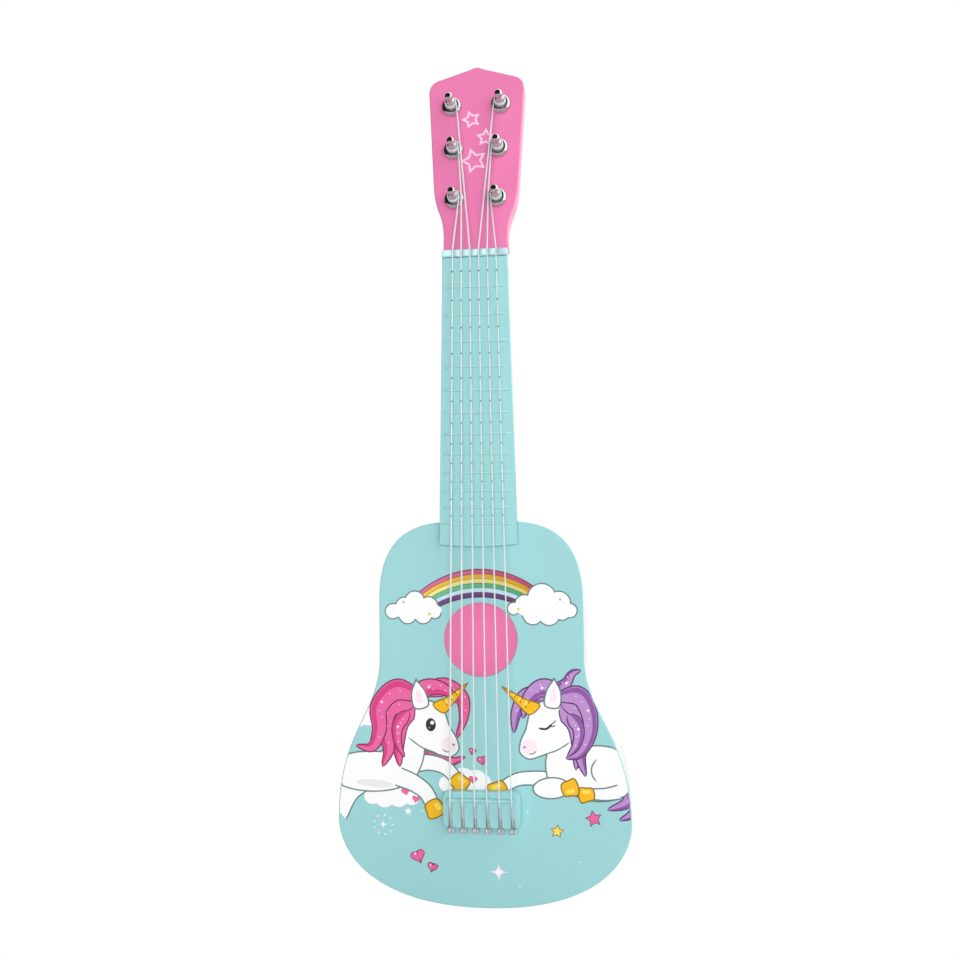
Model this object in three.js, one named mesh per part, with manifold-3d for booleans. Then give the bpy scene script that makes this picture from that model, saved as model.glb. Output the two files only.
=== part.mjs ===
// A child's six-string acoustic guitar, 21 inches long, standing on the end of its body.
// Millimetres. X runs across the strings, +Y from the soundboard to the back, +Z up the neck.
import * as THREE from "three";
import { mergeVertices } from "three/addons/utils/BufferGeometryUtils.js";
import Module from "manifold-3d";

const wasm = await Module();
wasm.setup();

// ---- Clearances ----
const GLUE_GAP = 0.1; // between glued faces that lie square to the axes
const SOFT_GAP = 0.3; // between curved or tilted faces that only just meet
const TURN_GAP = 0.15; // radial, round a turning peg
const PAST = 5; // how far a cutter runs past the face it cuts

// ---- Body ----
const BODY_LENGTH = 239.1;
const BODY_DEPTH = 48;
const LOWER_BOUT_HALF = 91.7;
const LOWER_BOUT_HEIGHT = 53.4;
const UPPER_BOUT_HALF = 64.2;
const WAIST_DROP = 83.9; // below the body's top: the sides run straight from here
const SHOULDER_DROP = 49.7; // to here
const SHOULDER_FLAT_HALF = 18.4; // the flat that the neck meets
const SOUNDBOARD_THICKNESS = 3;
const BACK_THICKNESS = 2.8;
const RIM_THICKNESS = 2.5;
const SOUND_HOLE_RADIUS = 23;
const SOUND_HOLE_DROP = 73.6; // from the body's top to the hole's middle
const NECK_BLOCK = { half: 22, height: 20 };
const TAIL_BLOCK = { half: 25, height: 20 };
const BRACE = { width: 8, depth: 8 };
const BRACE_FROM_HOLE = 14; // from the hole's edge to the middle of each soundboard brace
const LABEL = { radius: 36, thickness: 0.4 };
const BACK_BRACE_FROM_LABEL = 8; // from the label's edge to the middle of each back brace

// ---- Neck and fretboard ----
const SCALE_LENGTH = 334; // twice the run from the nut to the twelfth fret
const TWELFTH_FRET_INSET = 1.1; // the twelfth fret lies this far inside the body's edge
const FRET_COUNT = 12;
const NECK_HALF_AT_NUT = 20.5;
const NECK_HALF_AT_BODY = 24.2;
const NECK_DEPTH = 15; // behind the fretboard
const HEEL_DEPTH = 41;
const HEEL_LENGTH = 30; // the run over which the heel fades into the neck
const HEEL_BACK_SHARE = 0.5; // the heel's back is this share of the neck's width
const FRETBOARD_THICKNESS = 4;
const FRETBOARD_OVERHANG = 15.5; // past the twelfth fret's end of the neck, over the soundboard
const FRETBOARD_END_SAG = 1.4; // how far the end bows down in the middle
const FRET = { width: 1.6, height: 1, tang: 0.5, tangDepth: 1.6, inset: 2.4 };
const NUT_LENGTH = 4.4; // along the strings
const NUT_RISE = 1.2; // above the strings' underside
const NECK_SCREW = { radius: 2, headRadius: 4, headHeight: 2.4, length: 33, ys: [12, 26] };

// ---- Strings and bridge ----
const STRING_RADII = [0.55, 0.52, 0.5, 0.48, 0.46, 0.44];
const STRING_SPREAD_AT_NUT = 27.5;
const STRING_SPREAD_AT_SADDLE = 38;
const NUT_CLEARANCE = 0.4; // the strings' underside over the frets at the nut
const SADDLE_RISE = 3.8; // how much further the strings stand off at the saddle
const COMPENSATION = 3; // the saddle stands this far past the scale length
const SADDLE = { pastStrings: 2, thickness: 2.4, seat: 3 };
const BRIDGE = { pastSaddle: 3, above: 5, below: 17, height: 6, corner: 4 };
const NOTCH = { width: 2, length: 5.5, floor: 3.3 };
const BALL_RADIUS = 2;
const BALL_HEIGHT = 4.6; // the ball's centre over the soundboard

// ---- Headstock ----
const HEAD_TILT = THREE.MathUtils.degToRad(8.3);
const HEAD_THICKNESS = 12.5;
const HEAD_LENGTH = 126;
const HEAD_SIDE_LENGTH = 109; // where the straight sides end
const HEAD_HALF_AT_TOP = 31;
const HEAD_FLARE_HALF = 27.4; // where the flare meets the straight side
const HEAD_FLARE = { start: 8, end: 48 };
const HEAD_SHOULDER = { half: 25.5, drop: 8 }; // where the rounded corner meets the top slope
const HEAD_PEAK_HALF = 4; // the rounded tip

// ---- Tuning pegs ----
const PEG_ROWS = [
  { up: 34.7, half: 13.5 },
  { up: 68.4, half: 14.4 },
  { up: 98.6, half: 15.9 },
];
const POST_RADIUS = 2.9;
const POST_STRING_HEIGHT = 6.5; // over the headstock's face
const POST_NECK = { radius: 1.9, from: 9.6, to: 11.6 };
const POST_CAP = { radius: 2.5, height: 16 };
const STRING_HOLE_RADIUS = 0.8;
const TAIL_RADIUS = 2.2; // the post's thinner end, inside the button
const TAIL_LENGTH = 12;
const SCREW_BORE = { radius: 1.5, depth: 8 };
const BUSHING = { radius: 6.6, lip: 0.9, height: 3.4, topRadius: 4 };
const BUTTON = { half: 9.5, waist: 4.2, length: 16, thickness: 6.5 };
const PEG_SCREW = { radius: 1.2, headRadius: 2.6, headHeight: 1.6, reach: 7 };

// ---- Places worked out from the sizes above ----
const waistHeight = BODY_LENGTH - WAIST_DROP;
const shoulderHeight = BODY_LENGTH - SHOULDER_DROP;
const soundHoleHeight = BODY_LENGTH - SOUND_HOLE_DROP;
const rimFront = SOUNDBOARD_THICKNESS + GLUE_GAP;
const backFront = BODY_DEPTH - BACK_THICKNESS;
const nutZ = BODY_LENGTH - TWELFTH_FRET_INSET + SCALE_LENGTH / 2;
const nutTop = nutZ + NUT_LENGTH;
const saddleZ = nutZ - SCALE_LENGTH - COMPENSATION;
const neckFoot = BODY_LENGTH + GLUE_GAP;
const fretboardFront = -(GLUE_GAP + FRETBOARD_THICKNESS);
const fretFront = fretboardFront - GLUE_GAP - FRET.height;
const bridgeFront = -(GLUE_GAP + BRIDGE.height);
const bridgeFoot = saddleZ - BRIDGE.below;
const saddleHalf = STRING_SPREAD_AT_SADDLE / 2 + SADDLE.pastStrings;
const bridgeHalf = saddleHalf + BRIDGE.pastSaddle;
const headHalfAtNut = NECK_HALF_AT_NUT - GLUE_GAP;
const stringUnderAtNut = fretFront - NUT_CLEARANCE;
const stringUnderAtSaddle = stringUnderAtNut - SADDLE_RISE;
const stringCount = STRING_RADII.length;
const buttonFront = HEAD_THICKNESS + SOFT_GAP; // behind the headstock's face
const postEnd = buttonFront + TAIL_LENGTH;
const buttonBack = buttonFront + BUTTON.length;

// ---- Finishes ----
const finish = (color, roughness, metalness = 0) =>
  new THREE.MeshStandardMaterial({ color, roughness, metalness });
const tealPaint = finish(0xa0d7d9, 0.35);
const pinkPaint = finish(0xee7ab3, 0.35);
const whitePaint = finish(0xf4f4f2, 0.35);
const paleNut = finish(0xc9edf2, 0.4);
const bareWood = finish(0xd8bd92, 0.7);
const pinkPaper = finish(0xee6fb4, 0.6);
const fretMetal = finish(0xd2e6e8, 0.3, 0.8);
const nylon = finish(0xf2f6f6, 0.3);
const chrome = finish(0xd8d8d8, 0.12, 1);
const pearlPlastic = finish(0xf3eef2, 0.3);
const screwSteel = finish(0xb8babd, 0.3, 1);

const guitar = new THREE.Group();

function addPart(name, geometry, material, parent = guitar) {
  const mesh = new THREE.Mesh(geometry, material);
  mesh.name = name;
  parent.add(mesh);
  return mesh;
}

// ---- Solids: to and from the library that joins and cuts them ----
function solid(geometry) {
  const bare = geometry.clone();
  bare.deleteAttribute("normal");
  bare.deleteAttribute("uv");
  const merged = mergeVertices(bare, 1e-4);
  const vertProperties = merged.attributes.position.array;
  const triVerts = new Uint32Array(merged.index.array);
  return new wasm.Manifold(new wasm.Mesh({ numProp: 3, vertProperties, triVerts }));
}

function geometryOf(manifold) {
  const { vertProperties, triVerts } = manifold.getMesh();
  const geometry = new THREE.BufferGeometry();
  geometry.setAttribute("position", new THREE.BufferAttribute(new Float32Array(vertProperties), 3));
  geometry.setIndex(new THREE.BufferAttribute(new Uint32Array(triVerts), 1));
  const faceted = geometry.toNonIndexed();
  faceted.computeVertexNormals();
  return faceted;
}

const cut = (geometry, cutters) =>
  geometryOf(cutters.reduce((left, tool) => left.subtract(solid(tool)), solid(geometry)));
const trimTo = (geometry, keep) => geometryOf(solid(geometry).intersect(solid(keep)));

// A block between two corners.
function block(low, high) {
  const size = high.map((value, axis) => value - low[axis]);
  const middle = high.map((value, axis) => (value + low[axis]) / 2);
  return new THREE.BoxGeometry(...size).translate(...middle);
}

// A flat piece: an outline in X and Z, standing from one Y to another.
function plate(shape, front, back, curveSegments = 16) {
  const settings = { depth: back - front, bevelEnabled: false, curveSegments };
  return new THREE.ExtrudeGeometry(shape, settings).rotateX(Math.PI / 2).translate(0, back, 0);
}

// A bar across the guitar: an outline in Y and Z, running from -half to +half in X.
function bar(shape, half) {
  const settings = { depth: 2 * half, bevelEnabled: false, curveSegments: 6 };
  const along = new THREE.Matrix4().makeBasis(
    new THREE.Vector3(0, 1, 0),
    new THREE.Vector3(0, 0, 1),
    new THREE.Vector3(1, 0, 0),
  );
  return new THREE.ExtrudeGeometry(shape, settings).applyMatrix4(along).translate(-half, 0, 0);
}

// A round pin along Y, from one Y to another.
const pinAlongY = (radius, x, z, front, back, sides = 16) =>
  new THREE.CylinderGeometry(radius, radius, back - front, sides).translate(x, (front + back) / 2, z);

// A round pin along Z, from one Z to another.
const pinAlongZ = (radius, x, y, low, high, sides = 16) =>
  new THREE.CylinderGeometry(radius, radius, high - low, sides)
    .rotateX(Math.PI / 2)
    .translate(x, y, (low + high) / 2);

// The same outline moved inwards by a distance, as a shape.
function inset(shape, distance, curveSegments = 16) {
  const points = shape.getPoints(curveSegments);
  if (points[0].distanceTo(points.at(-1)) < 1e-6) points.pop();
  const count = points.length;
  const inwards = points.map((point, i) => {
    const before = points[(i + count - 1) % count];
    const after = points[(i + 1) % count];
    const into = point.clone().sub(before).normalize();
    const onward = after.clone().sub(point).normalize();
    const along = into.add(onward).normalize();
    return new THREE.Vector2(-along.y, along.x).multiplyScalar(distance).add(point);
  });
  return new THREE.Shape(inwards);
}

// A closed skin through rings of points that face the same way, with a flat cap on each end.
function loft(rings) {
  const size = rings[0].length;
  const positions = rings.flat().flatMap((point) => point.toArray());
  const faces = [];
  for (let ring = 0; ring + 1 < rings.length; ring++) {
    for (let i = 0; i < size; i++) {
      const here = ring * size + i;
      const next = ring * size + ((i + 1) % size);
      faces.push(here, next, next + size, here, next + size, here + size);
    }
  }
  const last = (rings.length - 1) * size;
  for (let i = 1; i + 1 < size; i++) {
    faces.push(0, i + 1, i, last, last + i, last + i + 1);
  }
  const geometry = new THREE.BufferGeometry();
  geometry.setAttribute("position", new THREE.Float32BufferAttribute(positions, 3));
  geometry.setIndex(faces);
  geometry.computeVertexNormals();
  return geometry;
}

// ---- Body outline: four curves up the right side, then the same ones down the left ----
function bodyOutline() {
  const side = [
    [75.9, 0, LOWER_BOUT_HALF, LOWER_BOUT_HEIGHT - 17.4, LOWER_BOUT_HALF, LOWER_BOUT_HEIGHT],
    [
      LOWER_BOUT_HALF,
      LOWER_BOUT_HEIGHT + 54.4,
      UPPER_BOUT_HALF,
      waistHeight - 36,
      UPPER_BOUT_HALF,
      waistHeight,
    ],
    [
      UPPER_BOUT_HALF,
      shoulderHeight + 31.1,
      SHOULDER_FLAT_HALF + 33.9,
      BODY_LENGTH,
      SHOULDER_FLAT_HALF,
      BODY_LENGTH,
    ],
  ];
  const shape = new THREE.Shape();
  shape.moveTo(0, 0);
  shape.bezierCurveTo(...side[0]);
  shape.bezierCurveTo(...side[1]);
  shape.lineTo(UPPER_BOUT_HALF, shoulderHeight);
  shape.bezierCurveTo(...side[2]);
  shape.lineTo(-SHOULDER_FLAT_HALF, BODY_LENGTH);
  shape.bezierCurveTo(-side[2][2], side[2][3], -side[2][0], side[2][1], -UPPER_BOUT_HALF, shoulderHeight);
  shape.lineTo(-UPPER_BOUT_HALF, waistHeight);
  shape.bezierCurveTo(-side[1][2], side[1][3], -side[1][0], side[1][1], -LOWER_BOUT_HALF, LOWER_BOUT_HEIGHT);
  shape.bezierCurveTo(-side[0][2], side[0][3], -side[0][0], side[0][1], 0, 0);
  return shape;
}

const outline = bodyOutline();
const insideRim = (gap) => plate(inset(outline, RIM_THICKNESS + gap), rimFront, backFront - GLUE_GAP);

// ---- Soundboard: one ply sheet with the round sound hole ----
function soundboard() {
  const shape = bodyOutline();
  const hole = new THREE.Path();
  hole.absarc(0, soundHoleHeight, SOUND_HOLE_RADIUS, 0, 2 * Math.PI, true);
  shape.holes.push(hole);
  return plate(shape, 0, SOUNDBOARD_THICKNESS);
}

// ---- Rim: the bent side band, bored for the neck screws ----
function rim() {
  const shape = bodyOutline();
  shape.holes.push(new THREE.Path(inset(outline, RIM_THICKNESS).getPoints()));
  const band = plate(shape, rimFront, backFront - GLUE_GAP);
  return cut(band, neckScrewHoles(BODY_LENGTH - RIM_THICKNESS - PAST, BODY_LENGTH + PAST));
}

const neckScrewHoles = (low, high) =>
  NECK_SCREW.ys.map((y) => pinAlongZ(NECK_SCREW.radius + GLUE_GAP, 0, y, low, high));

// ---- Blocks that the neck and the tail end are fixed to ----
function neckBlock() {
  const foot = BODY_LENGTH - RIM_THICKNESS - NECK_BLOCK.height;
  const { half } = NECK_BLOCK;
  const wood = block([-half, rimFront, foot], [half, backFront - GLUE_GAP, BODY_LENGTH]);
  return cut(trimTo(wood, insideRim(GLUE_GAP)), neckScrewHoles(foot - PAST, BODY_LENGTH));
}

function tailBlock() {
  const { half, height } = TAIL_BLOCK;
  const wood = block([-half, rimFront, 0], [half, backFront - GLUE_GAP, RIM_THICKNESS + height]);
  return trimTo(wood, insideRim(GLUE_GAP));
}

// ---- Braces: bars across the inside of the soundboard and of the back ----
function brace(z, front, back) {
  const reach = 2 * LOWER_BOUT_HALF;
  const low = [-reach, front, z - BRACE.width / 2];
  const high = [reach, back, z + BRACE.width / 2];
  return trimTo(block(low, high), insideRim(SOFT_GAP));
}

const topBrace = (z) => brace(z, rimFront, rimFront + BRACE.depth);
const backBrace = (z) => brace(z, backFront - GLUE_GAP - BRACE.depth, backFront - GLUE_GAP);

// ---- Paper disc glued inside the back, seen through the sound hole ----
function soundHoleLabel() {
  const back = backFront - GLUE_GAP;
  return pinAlongY(LABEL.radius, 0, soundHoleHeight, back - LABEL.thickness, back, 48);
}

// ---- Neck: half-round behind the fretboard, deepening into the heel ----
const neckHalfAt = (z) =>
  THREE.MathUtils.mapLinear(z, neckFoot, nutZ, NECK_HALF_AT_BODY, NECK_HALF_AT_NUT);

// One slice of the neck: flat in front, round behind, squarer and deeper in the heel.
function neckSlice(z) {
  const fade = THREE.MathUtils.smoothstep(neckFoot + HEEL_LENGTH - z, 0, HEEL_LENGTH);
  const depth = THREE.MathUtils.lerp(NECK_DEPTH, HEEL_DEPTH, fade);
  const half = neckHalfAt(z);
  const sides = 20;
  return Array.from({ length: sides + 1 }, (_, i) => {
    const turn = (Math.PI * i) / sides;
    const back = Math.sin(turn);
    const narrow = 1 - fade * (1 - HEEL_BACK_SHARE) * back;
    return new THREE.Vector3(half * Math.cos(turn) * narrow, depth * back ** 0.75, z);
  });
}

function neck() {
  const steps = 10;
  const heel = Array.from({ length: steps }, (_, i) => neckFoot + (HEEL_LENGTH * i) / steps);
  const rings = [...heel, neckFoot + HEEL_LENGTH, nutTop].map(neckSlice);
  const pilot = NECK_SCREW.length - NECK_BLOCK.height - RIM_THICKNESS + 1;
  return cut(loft(rings), neckScrewHoles(neckFoot - PAST, neckFoot + pilot));
}

// ---- Wood screw through the neck block into the heel ----
function neckScrew(y) {
  const seat = BODY_LENGTH - RIM_THICKNESS - NECK_BLOCK.height;
  const shank = pinAlongZ(NECK_SCREW.radius, 0, y, seat - 1, seat + NECK_SCREW.length);
  const { headRadius, headHeight } = NECK_SCREW;
  const head = pinAlongZ(headRadius, 0, y, seat - GLUE_GAP - headHeight, seat - GLUE_GAP);
  return geometryOf(solid(shank).add(solid(head)));
}

// ---- Fretboard: tapered slab with a saw cut for each fret ----
const fretZ = (number) => nutZ - SCALE_LENGTH * (1 - 2 ** (-number / 12));
const fretNumbers = Array.from({ length: FRET_COUNT }, (_, i) => i + 1);

function fretboard() {
  const end = BODY_LENGTH - FRETBOARD_OVERHANG;
  const endHalf = neckHalfAt(end);
  const shape = new THREE.Shape();
  shape.moveTo(-endHalf, end + FRETBOARD_END_SAG);
  shape.quadraticCurveTo(0, end - FRETBOARD_END_SAG, endHalf, end + FRETBOARD_END_SAG);
  shape.lineTo(neckHalfAt(nutZ), nutZ - GLUE_GAP);
  shape.lineTo(-neckHalfAt(nutZ), nutZ - GLUE_GAP);
  const slots = fretNumbers.map((number) => {
    const half = FRET.tang / 2 + GLUE_GAP;
    const reach = 2 * NECK_HALF_AT_BODY;
    const floor = fretboardFront + FRET.tangDepth + GLUE_GAP;
    return block([-reach, fretboardFront - PAST, fretZ(number) - half], [reach, floor, fretZ(number) + half]);
  });
  return cut(plate(shape, fretboardFront, -GLUE_GAP, 10), slots);
}

// ---- Fret: a crowned wire with a tang that sits in its saw cut ----
function fret(number) {
  const z = fretZ(number);
  const seat = fretboardFront - GLUE_GAP;
  const shape = new THREE.Shape();
  shape.moveTo(fretboardFront + FRET.tangDepth, z - FRET.tang / 2);
  shape.lineTo(fretboardFront + FRET.tangDepth, z + FRET.tang / 2);
  shape.lineTo(seat, z + FRET.tang / 2);
  shape.lineTo(seat, z + FRET.width / 2);
  shape.quadraticCurveTo(fretFront, z + FRET.width / 2, fretFront, z);
  shape.quadraticCurveTo(fretFront, z - FRET.width / 2, seat, z - FRET.width / 2);
  shape.lineTo(seat, z - FRET.tang / 2);
  return bar(shape, neckHalfAt(z) - FRET.inset);
}

// ---- Strings: where each one crosses the nut and the saddle ----
const stringShare = (index) => index / (stringCount - 1) - 0.5;
const stringAtNut = (index) => stringShare(index) * STRING_SPREAD_AT_NUT;
const stringAtSaddle = (index) => stringShare(index) * STRING_SPREAD_AT_SADDLE;
const stringX = (index, z) =>
  THREE.MathUtils.mapLinear(z, nutZ, saddleZ, stringAtNut(index), stringAtSaddle(index));
const everyString = STRING_RADII.map((_, index) => index);

// ---- Nut: a slotted bar at the top of the fretboard ----
function nut() {
  const front = stringUnderAtNut - NUT_RISE;
  const half = neckHalfAt(nutZ);
  const body = block([-half, front, nutZ], [half, -GLUE_GAP, nutTop]);
  const slots = everyString.map((index) => {
    const reach = STRING_RADII[index] + 2 * GLUE_GAP;
    const x = stringX(index, nutZ + NUT_LENGTH / 2);
    const floor = stringUnderAtNut + GLUE_GAP;
    return block([x - reach, front - PAST, nutZ - PAST], [x + reach, floor, nutTop + PAST]);
  });
  return cut(body, slots);
}

// ---- Bridge: a low block with a slot for the saddle and a notch for each string's end ----
function roundedRectangle(half, low, high, corner) {
  const shape = new THREE.Shape();
  shape.moveTo(-half + corner, low);
  shape.lineTo(half - corner, low);
  shape.absarc(half - corner, low + corner, corner, -Math.PI / 2, 0);
  shape.absarc(half - corner, high - corner, corner, 0, Math.PI / 2);
  shape.absarc(-half + corner, high - corner, corner, Math.PI / 2, Math.PI);
  shape.absarc(-half + corner, low + corner, corner, Math.PI, 1.5 * Math.PI);
  return shape;
}

function bridge() {
  const body = plate(
    roundedRectangle(bridgeHalf, bridgeFoot, saddleZ + BRIDGE.above, BRIDGE.corner),
    bridgeFront,
    -GLUE_GAP,
    5,
  );
  const slotHalf = SADDLE.thickness / 2 + GLUE_GAP;
  const slotReach = saddleHalf + GLUE_GAP;
  const slot = block(
    [-slotReach, bridgeFront - PAST, saddleZ - slotHalf],
    [slotReach, bridgeFront + SADDLE.seat, saddleZ + slotHalf],
  );
  const notches = everyString.map((index) => {
    const x = stringX(index, bridgeFoot);
    const low = [x - NOTCH.width / 2, bridgeFront - PAST, bridgeFoot - PAST];
    return block(low, [x + NOTCH.width / 2, -NOTCH.floor, bridgeFoot + NOTCH.length]);
  });
  return cut(body, [slot, ...notches]);
}

// ---- Saddle: the strip that the strings bear on ----
function saddle() {
  const front = stringUnderAtSaddle + GLUE_GAP;
  const half = SADDLE.thickness / 2;
  const back = bridgeFront + SADDLE.seat - GLUE_GAP;
  const shape = new THREE.Shape();
  shape.moveTo(back, saddleZ - half);
  shape.lineTo(back, saddleZ + half);
  shape.lineTo(front + half, saddleZ + half);
  shape.quadraticCurveTo(front, saddleZ + half, front, saddleZ);
  shape.quadraticCurveTo(front, saddleZ - half, front + half, saddleZ - half);
  return bar(shape, saddleHalf);
}

// ---- Headstock frame: its origin is on the face at the nut, and it leans back ----
const head = new THREE.Group();
head.position.set(0, 0, nutTop + SOFT_GAP);
head.rotation.x = -HEAD_TILT;
guitar.add(head);
head.updateMatrixWorld(true);

function headOutline() {
  const { start, end } = HEAD_FLARE;
  const bend = (start + end) / 2;
  const right = (shape) => {
    shape.lineTo(headHalfAtNut, start);
    shape.bezierCurveTo(headHalfAtNut, bend, HEAD_FLARE_HALF - 1, bend - 4, HEAD_FLARE_HALF, end);
    shape.lineTo(HEAD_HALF_AT_TOP, HEAD_SIDE_LENGTH);
    const shoulder = HEAD_LENGTH - HEAD_SHOULDER.drop;
    shape.quadraticCurveTo(HEAD_HALF_AT_TOP, shoulder - 2, HEAD_SHOULDER.half, shoulder);
    const peak = HEAD_LENGTH - (HEAD_SHOULDER.drop * HEAD_PEAK_HALF) / HEAD_SHOULDER.half;
    shape.lineTo(HEAD_PEAK_HALF, peak);
    shape.quadraticCurveTo(HEAD_PEAK_HALF / 3, HEAD_LENGTH, 0, HEAD_LENGTH);
  };
  const half = new THREE.Shape();
  half.moveTo(headHalfAtNut, -PAST);
  right(half);
  const points = half.getPoints(8);
  const mirrored = points.slice(0, -1).map((point) => new THREE.Vector2(-point.x, point.y));
  return new THREE.Shape([...points, ...mirrored.reverse()]);
}

// The six pegs in string order: up the left side, then down the right side.
const pegs = everyString.map((index) => {
  const left = index < stringCount / 2;
  const row = PEG_ROWS[left ? index : stringCount - 1 - index];
  return { number: index + 1, x: left ? -row.half : row.half, up: row.up, inwards: left ? 1 : -1 };
});

function headstock() {
  const board = plate(headOutline(), 0, HEAD_THICKNESS, 8);
  const reach = 4 * HEAD_HALF_AT_TOP;
  const belowNut = block([-reach, -reach, -reach], [reach, reach, 0]).rotateX(HEAD_TILT);
  const bores = pegs.map(({ x, up }) =>
    pinAlongY(POST_RADIUS + TURN_GAP, x, up, -PAST, HEAD_THICKNESS + PAST),
  );
  return cut(board, [belowNut, ...bores]);
}

// ---- A turned piece: its profile runs up the peg's axis, measured out from the headstock's face ----
const turned = (profile, sides = 16) =>
  new THREE.LatheGeometry(
    profile.map(([radius, height]) => new THREE.Vector2(radius, height)),
    sides,
  ).rotateX(Math.PI);

// ---- Peg post: winds the string in front, carries the button behind ----
function pegPost() {
  const capFoot = POST_NECK.to;
  const post = turned([
    [0, SCREW_BORE.depth - postEnd],
    [SCREW_BORE.radius, SCREW_BORE.depth - postEnd],
    [SCREW_BORE.radius, -postEnd],
    [TAIL_RADIUS, -postEnd],
    [TAIL_RADIUS, -buttonFront],
    [POST_RADIUS, -buttonFront],
    [POST_RADIUS, POST_NECK.from - 0.6],
    [POST_NECK.radius, POST_NECK.from],
    [POST_NECK.radius, capFoot],
    [POST_CAP.radius, capFoot + 0.8],
    [POST_CAP.radius, POST_CAP.height - 1.6],
    [POST_CAP.radius * 0.75, POST_CAP.height - 0.5],
    [0, POST_CAP.height],
  ]);
  const reach = 2 * POST_RADIUS;
  const hole = new THREE.CylinderGeometry(STRING_HOLE_RADIUS, STRING_HOLE_RADIUS, 2 * reach, 10)
    .rotateX(Math.PI / 2)
    .translate(0, -POST_STRING_HEIGHT, 0);
  return cut(post, [hole]);
}

// ---- Peg bushing: the domed washer pressed on the headstock's face round the post ----
function pegBushing() {
  const inner = POST_RADIUS + TURN_GAP;
  const { radius, lip, height, topRadius } = BUSHING;
  return turned([
    [inner, SOFT_GAP],
    [radius, SOFT_GAP],
    [radius, SOFT_GAP + lip],
    [radius * 0.93, SOFT_GAP + height * 0.55],
    [radius * 0.78, SOFT_GAP + height * 0.8],
    [topRadius, SOFT_GAP + height],
    [inner, SOFT_GAP + height],
    [inner, SOFT_GAP],
  ]);
}

// ---- Peg button: the ear-shaped thumb piece on the back of the post ----
function pegButton() {
  const { half, waist, length, thickness } = BUTTON;
  const widest = buttonFront + length * 0.6;
  const swell = buttonFront + length * 0.28;
  const shape = new THREE.Shape();
  shape.moveTo(-waist, buttonFront);
  shape.lineTo(waist, buttonFront);
  shape.bezierCurveTo(waist, swell, half, swell, half, widest);
  shape.bezierCurveTo(half, buttonBack - 1, waist + 1, buttonBack, waist, buttonBack);
  shape.lineTo(-waist, buttonBack);
  shape.bezierCurveTo(-waist - 1, buttonBack, -half, buttonBack - 1, -half, widest);
  shape.bezierCurveTo(-half, swell, -waist, swell, -waist, buttonFront);
  const settings = { depth: thickness, bevelEnabled: false, curveSegments: 6 };
  const paddle = new THREE.ExtrudeGeometry(shape, settings).translate(0, 0, -thickness / 2);
  const socket = pinAlongY(TAIL_RADIUS + SOFT_GAP, 0, 0, buttonFront - PAST, postEnd + SOFT_GAP);
  const bore = pinAlongY(SCREW_BORE.radius, 0, 0, buttonFront, buttonBack + PAST);
  return cut(paddle, [socket, bore]);
}

// ---- Peg screw: holds the button on the post ----
function pegScrew() {
  const headSeat = -(buttonBack + SOFT_GAP);
  const { radius, headRadius, headHeight, reach } = PEG_SCREW;
  return turned([
    [0, headSeat - headHeight],
    [headRadius * 0.7, headSeat - headHeight],
    [headRadius, headSeat - headHeight * 0.5],
    [headRadius, headSeat],
    [radius, headSeat],
    [radius, reach - postEnd],
    [0, reach - postEnd],
  ]);
}

// ---- String: from its ball behind the bridge, over saddle and nut, to the inner side of its peg ----
class Route extends THREE.Curve {
  constructor(points) {
    super();
    this.points = points;
  }

  place(u) {
    return Math.round(u * (this.points.length - 1));
  }

  getPointAt(u) {
    return this.points[this.place(u)].clone();
  }

  getTangentAt(u) {
    const i = this.place(u);
    const here = this.points[i];
    const before = this.points[i - 1];
    const after = this.points[i + 1];
    const along = new THREE.Vector3();
    if (before) along.add(here.clone().sub(before).normalize());
    if (after) along.add(after.clone().sub(here).normalize());
    return along.normalize();
  }
}

// Past the nut a string runs straight to its peg, but keeps clear of the windings on the pegs before it.
function headRun(index, nutPoint) {
  const radius = STRING_RADII[index];
  const peg = pegs[index];
  const start = head.worldToLocal(nutPoint.clone());
  const side = peg.x + peg.inwards * (POST_RADIUS + SOFT_GAP + radius);
  const end = new THREE.Vector3(side, -POST_STRING_HEIGHT, peg.up);
  const passed = pegs.filter((other) => other.inwards === peg.inwards && other.up < peg.up);
  const beside = passed.map((other) => {
    const point = start.clone().lerp(end, (other.up - start.z) / (end.z - start.z));
    const winding = POST_RADIUS + 2 * SOFT_GAP + 2 * STRING_RADII[other.number - 1] + radius;
    const clear = other.x + peg.inwards * winding;
    point.x = peg.inwards > 0 ? Math.max(point.x, clear) : Math.min(point.x, clear);
    return point;
  });
  const inOrder = beside.sort((a, b) => a.z - b.z);
  return [...inOrder, end].map((point) => head.localToWorld(point));
}

function stringRoute(index) {
  const radius = STRING_RADII[index];
  const ballZ = bridgeFoot - SOFT_GAP - BALL_RADIUS;
  const saddleY = stringUnderAtSaddle - radius;
  const nutY = stringUnderAtNut - radius;
  const bearing = SADDLE.thickness / 4;
  const nutPoint = new THREE.Vector3(stringX(index, nutTop), nutY, nutTop);
  return [
    new THREE.Vector3(stringX(index, ballZ), -BALL_HEIGHT, ballZ),
    new THREE.Vector3(stringX(index, saddleZ - bearing), saddleY, saddleZ - bearing),
    new THREE.Vector3(stringX(index, saddleZ + bearing), saddleY, saddleZ + bearing),
    new THREE.Vector3(stringX(index, nutZ), nutY, nutZ),
    nutPoint,
    ...headRun(index, nutPoint),
  ];
}

function string(index) {
  const route = new Route(stringRoute(index));
  const sides = 8;
  const section = new THREE.Shape();
  section.absarc(0, 0, STRING_RADII[index], 0, 2 * Math.PI);
  const settings = { steps: route.points.length - 1, extrudePath: route, curveSegments: sides };
  const wire = new THREE.ExtrudeGeometry(section, settings);
  const ball = new THREE.SphereGeometry(BALL_RADIUS, 10, 6).translate(...route.points[0].toArray());
  return geometryOf(solid(wire).add(solid(ball)));
}

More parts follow.
